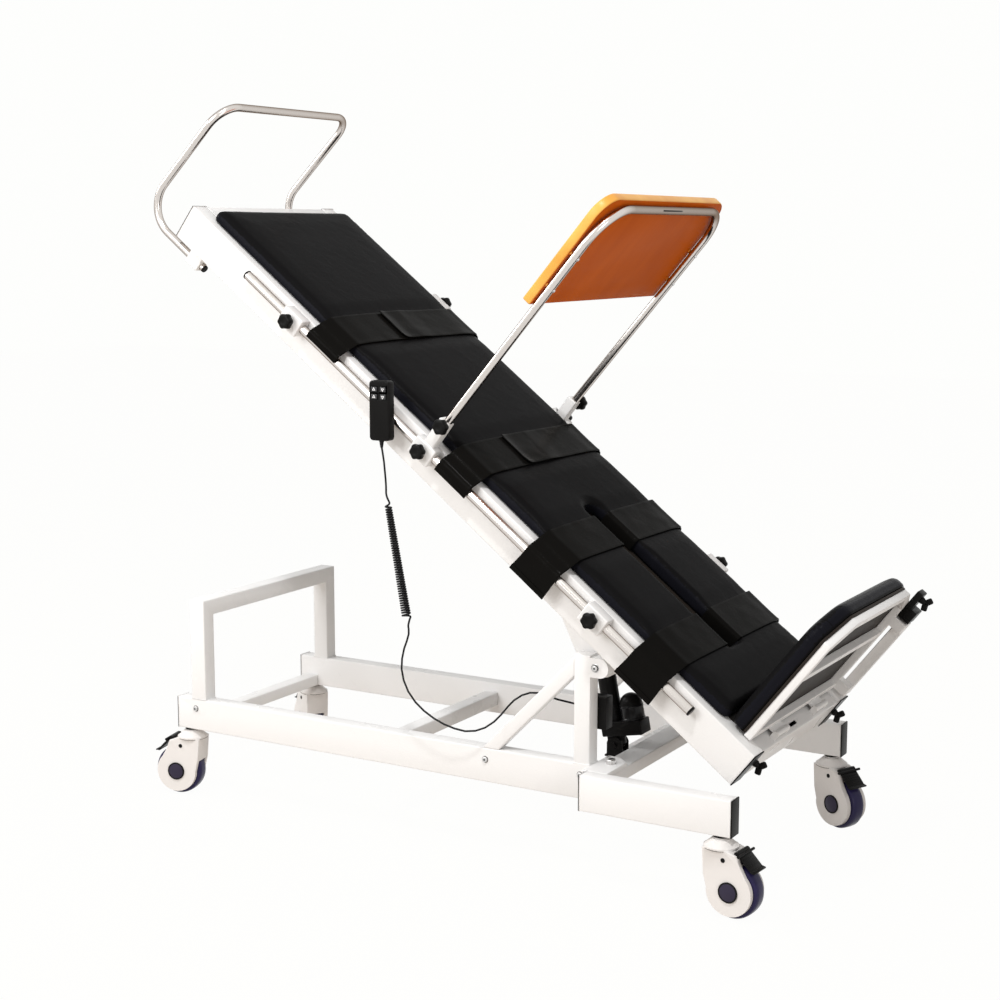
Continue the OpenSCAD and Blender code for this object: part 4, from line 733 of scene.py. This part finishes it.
# The tray: a laminated board with a lipped golden edge band, held off its bent tube by spacers with domed
# screws, and painted shade for a slot: a black strip on the middle of the top bar.
tray_along, tray_lean, tray_top = 0.877, math.radians(3), 0.692
tray_place = table_place @ Matrix.Translation((tray_along, 0, 0)) @ Matrix.Rotation(tray_lean, 4, "Y")
board_low = 0.411
wood = material("wood_laminate", (0.66, 0.125, 0.008), 0.4, shine=0.015)
between(wood, pattern(wood, "noise", 4, (1, 3, 1)), (0.62, 0.112, 0.006), (0.72, 0.14, 0.009),
        edges=(0.3, 0.7))
bumps(wood, pattern(wood, "noise", 60, (1, 9, 1)), 0.0001)
edge_gold = material("edge_band", (0.86, 0.42, 0.085), 0.32, shine=0.2)
between(edge_gold, pattern(edge_gold, "noise", 14), (0.8, 0.36, 0.065), (0.9, 0.47, 0.1))
board = softened("tray_board", 0.0035, 0.002, wood, "tray", segments=3)
board.data.materials.append(edge_gold)
tray_facing = tray_place.to_3x3() @ Vector((1, 0, 0))
for face in board.data.polygons:
    face.material_index = 0 if abs(face.normal.dot(tray_facing)) > 0.75 else 1

dome = [(0.0, 0.0026), (0.002, 0.0024), (0.0038, 0.0016), (0.0046, 0.0), (0.0, 0.0)]
screws = []
for side in (-1, 1):
    for rise in (0.0594, 0.1485):
        middle = Vector((bent_radius - 0.0004, side * rail_y, board_low + rise))
        screws.append((spun(dome, 24), tray_place @ standing(middle, (1, 0, 0))))
shown("tray_screws", joined("tray_screws", screws), "tray", [zinc])
# Painted shade: a thin black strip on the bar's face stands in for the shadow inside a slot.
on_bar = Matrix.Translation((0, -0.02, tray_top)) @ Matrix.Rotation(math.radians(-35), 4, "Y")
slot_painted_shade = [(boxy((0.0016, 0.1, 0.0034), 0.0007),
             tray_place @ on_bar @ Matrix.Translation((bent_radius - 0.0003, 0, 0)))]
shown("tray_slot_shade", joined("tray_slot_shade", slot_painted_shade), "tray", [moulded_black])


# The knobs: six-lobed black clamping knobs with a round neck, one on each rail block and on
# each socket of the tray.
def star_knob(node, joint, body):
    """A knob whose lobes are gathered in from a turned blank."""
    blank = [(0.0, 0.0), (0.0088, 0.0), (0.009, 0.0006), (0.009, 0.006), (0.0125, 0.0066),
             (0.0152, 0.0078), (0.0165, 0.0105), (0.0168, 0.016), (0.0165, 0.0215), (0.0152, 0.0245),
             (0.0125, 0.0258), (0.0085, 0.026), (0.0072, 0.0252), (0.0, 0.0252)]
    bm = spun(blank, 72)
    for vertex in bm.verts:
        reach = Vector((vertex.co.x, vertex.co.y)).length
        if reach > 0.0095:
            lobe = math.cos(6 * math.atan2(vertex.co.y, vertex.co.x))
            grow = 1 + (reach - 0.0095) / 0.0073 * (0.085 * lobe + 0.06)
            vertex.co.x *= grow
            vertex.co.y *= grow
    place = standing(Vector(joints[joint]["pos_m"]), joints[joint]["axis"])
    shown(node + "_lobed", joined(node, [(bm, place)]), body, [moulded_black], [node])


for spot in ("near_head", "far_head", "near_tray", "far_tray", "near_foot", "far_foot"):
    star_knob("star_knob_" + spot, "star_knob_turn_" + spot, "star_knob_" + spot)
for spot in ("near", "far"):
    star_knob("tray_knob_" + spot, "tray_knob_turn_" + spot, "tray_knob_" + spot)


# The footplate: a white tube frame and a dark board carry an upholstered pad. Its cover is
# drawn tight, with gathers where it turns the near chamfer, and a seam beside them.
softened("footplate_frame", 0.002, 0.015, white_coat, "footplate")
softened("foot_board", 0.0015, 0.006, board_grey, "footplate")
softened("stay_clamp", 0.002, 0.008, moulded_black, "footplate")


def wing_screw(spot):
    """A screw with a tapered hub and two thick wings that lean outwards."""
    hub = [(0.0, 0.0), (0.0078, 0.0), (0.0084, 0.0008), (0.0082, 0.0048), (0.0066, 0.0085),
           (0.0052, 0.0128), (0.0, 0.0136)]
    turned = table_place.to_3x3().to_4x4() @ Matrix.Rotation(math.radians(90), 4, "Y")
    stand = Matrix.Translation(joints["wing_screw_turn_" + spot]["pos_m"]) @ turned
    parts = [(spun(hub, 40), stand)]
    for side in (-1, 1):
        wing = boxy((0.0225, 0.009, 0.0145), 0.0038, 3)
        parts.append((wing, stand @ Matrix.Rotation(math.radians(-24 * side), 4, "Y") @
                      Matrix.Translation((side * 0.0125, 0, 0.0125))))
    shown("wing_screw_%s_grip" % spot, joined("wing_screw", parts), "wing_screw_" + spot,
          [moulded_black], ["wing_screw_" + spot])


for spot in ("near", "far", "stay"):
    wing_screw(spot)

foot_face = frame_length - 0.094
foot_half = frame_half - 0.0202
foot_pad_thick = 0.037
foot_high, chamfer_down, chamfer_across = 0.342, 0.048, 0.088
foot_swell = 0.003


def foot_room(point):
    """How far the pad may swell: not at its back, which is stapled to the board."""
    place = to_table @ point
    return foot_swell * eased(foot_face + foot_pad_thick - place.x, 0.006, 0.016)


foot_pad = kneaded("foot_pad", 0.0038, 5)
swollen(foot_pad, foot_room)
gather_depth = 0.0016
gather_pitch = 400
gathered = []
for vertex in foot_pad.data.vertices:
    place = to_table @ vertex.co
    from_corner = math.hypot(place.z - (foot_high - chamfer_down), -place.y - foot_half)
    if place.y >= 0:
        from_corner = 1
    from_back = foot_face + foot_pad_thick - place.x
    on_band = eased(from_back, 0.004, 0.012) * (1 - eased(from_back, 0.024, 0.038))
    run = place.z + place.y + 0.25 * place.x
    near_corner = 1 - eased(from_corner, 0.018, 0.052)
    depth = gather_depth * math.sin(run * gather_pitch + 3 * noise.noise(place * 40)) * near_corner * on_band
    gathered.append(vertex.co + vertex.normal * depth)
for vertex, place in zip(foot_pad.data.vertices, gathered):
    vertex.co = place
pad_bm = bmesh.new()
pad_bm.from_mesh(foot_pad.data)
foot_tree = BVHTree.FromBMesh(pad_bm)
pad_bm.free()
outwards = Vector((0, -chamfer_down, chamfer_across)).normalized()
seam_middle = Vector((foot_face, -foot_half + chamfer_across * 0.42, foot_high - chamfer_down * 0.58))
seam = []
for step in range(12):
    start = table_place @ (seam_middle + outwards * 0.03 + Vector((0.001 + 0.003 * step, 0, 0)))
    hit = foot_tree.ray_cast(start, -(table_place.to_3x3() @ outwards))
    if hit[0] is not None:
        seam.append(hit[0] + table_place.to_3x3() @ outwards * 0.0002)
shown("foot_seam", tube_mesh("foot_seam", seam, 0.0008, 2), "footplate", [vinyl])
upholstered(foot_pad, "foot_pad_cover", "footplate", "foot_pad", table_along)


# The drive: a black actuator with a moulded case, a ribbed outer tube, a domed motor beside
# it and a steel rod that leans up to the table's ears.
softened("actuator_body", 0.003, 0.012, moulded_black, "actuator_body")
refinish("actuator_rod", stainless)
drive_base = Vector(joints["actuator_swing"]["pos_m"])
drive_lean = (Vector(joints["rod_swing"]["pos_m"]) - drive_base).normalized()
drive_side = Vector((0, 1, 0)).cross(drive_lean)
drive_place = Matrix.Translation(drive_base) @ Matrix((
    (drive_side.x, 0, drive_lean.x, 0), (drive_side.y, 1, drive_lean.y, 0),
    (drive_side.z, 0, drive_lean.z, 0), (0, 0, 0, 1)))
gloss_black = material("gloss_black", (0.01, 0.01, 0.011), 0.14, shine=0.15)
first_rib = 0.064
rib_pitch = 0.0062
tube_ribs = []
for rib in range(6):
    h = first_rib + rib_pitch * rib
    outline = [(0.0218, h), (0.0232, h + 0.0006), (0.0232, h + 0.0022), (0.0218, h + 0.0028)]
    tube_ribs.append((spun(outline, 48), drive_place))
tube_nose = [(0.0218, 0.212), (0.0238, 0.213), (0.0238, 0.229), (0.0225, 0.2315), (0.0152, 0.2315)]
tube_ribs.append((spun(tube_nose, 48), drive_place))
motor_across = 0.052
motor = [(0.0272, 0.056), (0.0288, 0.0575), (0.0288, 0.0605), (0.0276, 0.062), (0.0276, 0.0845),
         (0.0284, 0.086), (0.0284, 0.0895), (0.0276, 0.091)]
tube_ribs.append((spun(motor, 64), drive_place @ Matrix.Translation((motor_across, 0, 0))))
shown("actuator_ribs", joined("actuator_ribs", tube_ribs), "actuator_body", [gloss_black])


# The handset: a rounded black shell on a hook, a paler key panel with four keys marked by
# plain arrows, and a tapered sleeve where its cord leaves.
softened("handset_shell", 0.0035, 0.0016, moulded_black, "table", sharp=60)
key_grey = material("key_black", (0.03, 0.03, 0.032), 0.35)
mark_white = material("mark_white", (0.85, 0.85, 0.85), 0.4)
for index in range(1, 5):
    node = "handset_button_%d" % index
    softened(node, 0.0009, 0.002, key_grey, node)
    low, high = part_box(node)
    middle = (low + high) / 2
    arrow = bmesh.new()
    bmesh.ops.create_circle(arrow, cap_ends=True, segments=3, radius=0.005)
    face = arrow.faces[:]
    bmesh.ops.inset_region(arrow, faces=face, thickness=0.0013, use_even_offset=True, use_boundary=True)
    bmesh.ops.delete(arrow, geom=face, context="FACES_ONLY")
    top = bmesh.ops.extrude_face_region(arrow, geom=arrow.faces[:])["geom"]
    top_points = [g for g in top if isinstance(g, bmesh.types.BMVert)]
    bmesh.ops.translate(arrow, vec=(0, 0, 0.0004), verts=top_points)
    spin = Matrix.Rotation(math.radians(0 if index % 2 else 180), 4, "Y")
    on_key = Matrix.Translation((middle.x, low.y - 0.0001, middle.z))
    lie = on_key @ spin @ Matrix.Rotation(math.radians(90), 4, "X")
    shown("key_mark_%d" % index, joined("key_mark", [(arrow, lie)]), node, [mark_white])
cord_exit = cord_line[0]
sleeve = [(0.0, 0.0012), (0.0056, 0.0012), (0.0056, -0.003), (0.0046, -0.0042), (0.0052, -0.0056),
          (0.0042, -0.0068), (0.0048, -0.0082), (0.0038, -0.0094), (0.0044, -0.0108), (0.0034, -0.012),
          (0.0036, -0.015), (0.0026, -0.016)]
shown("cord_sleeve", joined("cord_sleeve", [(spun(sleeve, 24), Matrix.Translation(cord_exit))]), "table",
      [cord_black])


# The studio: a pale floor that keeps the shadow, a white surround and soft lamps. What mirrors
# or lets light through shows the pale ground too.
floor_bm = bmesh.new()
bmesh.ops.create_grid(floor_bm, x_segments=1, y_segments=1, size=14)
floor_mesh = bpy.data.meshes.new("floor")
floor_bm.to_mesh(floor_mesh)
floor_bm.free()
floor = bpy.data.objects.new("floor", floor_mesh)
scene.collection.objects.link(floor)


def pale_to_sight(tree, others, glow, strength):
    """Mixes a plain glow over a shader for the rays that see a background: those of the camera,
    of mirrors and of glass. The other rays meet the shader."""
    path = tree.nodes.new("ShaderNodeLightPath")
    seen = path.outputs["Is Camera Ray"]
    for ray in ("Is Glossy Ray", "Is Transmission Ray"):
        either = tree.nodes.new("ShaderNodeMath")
        either.operation = "MAXIMUM"
        tree.links.new(seen, either.inputs[0])
        tree.links.new(path.outputs[ray], either.inputs[1])
        seen = either.outputs[0]
    share = tree.nodes.new("ShaderNodeMath")
    share.operation = "MULTIPLY"
    share.inputs[1].default_value = strength
    tree.links.new(seen, share.inputs[0])
    mix = tree.nodes.new("ShaderNodeMixShader")
    tree.links.new(share.outputs[0], mix.inputs["Fac"])
    tree.links.new(others.outputs[0], mix.inputs[1])
    tree.links.new(glow.outputs[0], mix.inputs[2])
    return mix


floor_pale = bpy.data.materials.new("floor_pale")
floor_pale.use_nodes = True
tree = floor_pale.node_tree
tree.nodes.clear()
diffuse = tree.nodes.new("ShaderNodeBsdfDiffuse")
diffuse.inputs["Color"].default_value = (0.72, 0.66, 0.6, 1)
glow = tree.nodes.new("ShaderNodeEmission")
glow.inputs["Color"].default_value = (1, 1, 0.99, 1)
out = tree.nodes.new("ShaderNodeOutputMaterial")
tree.links.new(pale_to_sight(tree, diffuse, glow, 0.98).outputs[0], out.inputs["Surface"])
floor_mesh.materials.append(floor_pale)

world = bpy.data.worlds.new("surround")
scene.world = world
world.use_nodes = True
tree = world.node_tree
tree.nodes.clear()
dim = tree.nodes.new("ShaderNodeBackground")
dim.inputs["Color"].default_value = (1, 0.965, 0.93, 1)
dim.inputs["Strength"].default_value = 0.4
bright = tree.nodes.new("ShaderNodeBackground")
bright.inputs["Color"].default_value = (0.988, 0.99, 0.978, 1)
out = tree.nodes.new("ShaderNodeOutputWorld")
tree.links.new(pale_to_sight(tree, dim, bright, 1.0).outputs[0], out.inputs["Surface"])


def lamp(name, place, aim, size, power):
    """A square soft lamp at a place, turned to what it lights."""
    data = bpy.data.lights.new(name, "AREA")
    data.size = size
    data.energy = power
    made = bpy.data.objects.new(name, data)
    made.location = place
    made.rotation_euler = (Vector(aim) - Vector(place)).to_track_quat("-Z", "Y").to_euler()
    scene.collection.objects.link(made)


lamp("key", (-1.4, -4.4, 3.2), (0, 0, 0.7), 2.6, 125)
lamp("side", (4.2, -2.6, 1.4), (0.2, 0, 0.5), 1.6, 25)
lamp("strip", (-3.4, -1.2, 2.6), (0, 0, 0.8), 1.2, 45)
lamp("glint", (0.9, -2.1, 4.4), (0, -0.2, 0.9), 0.35, 75)
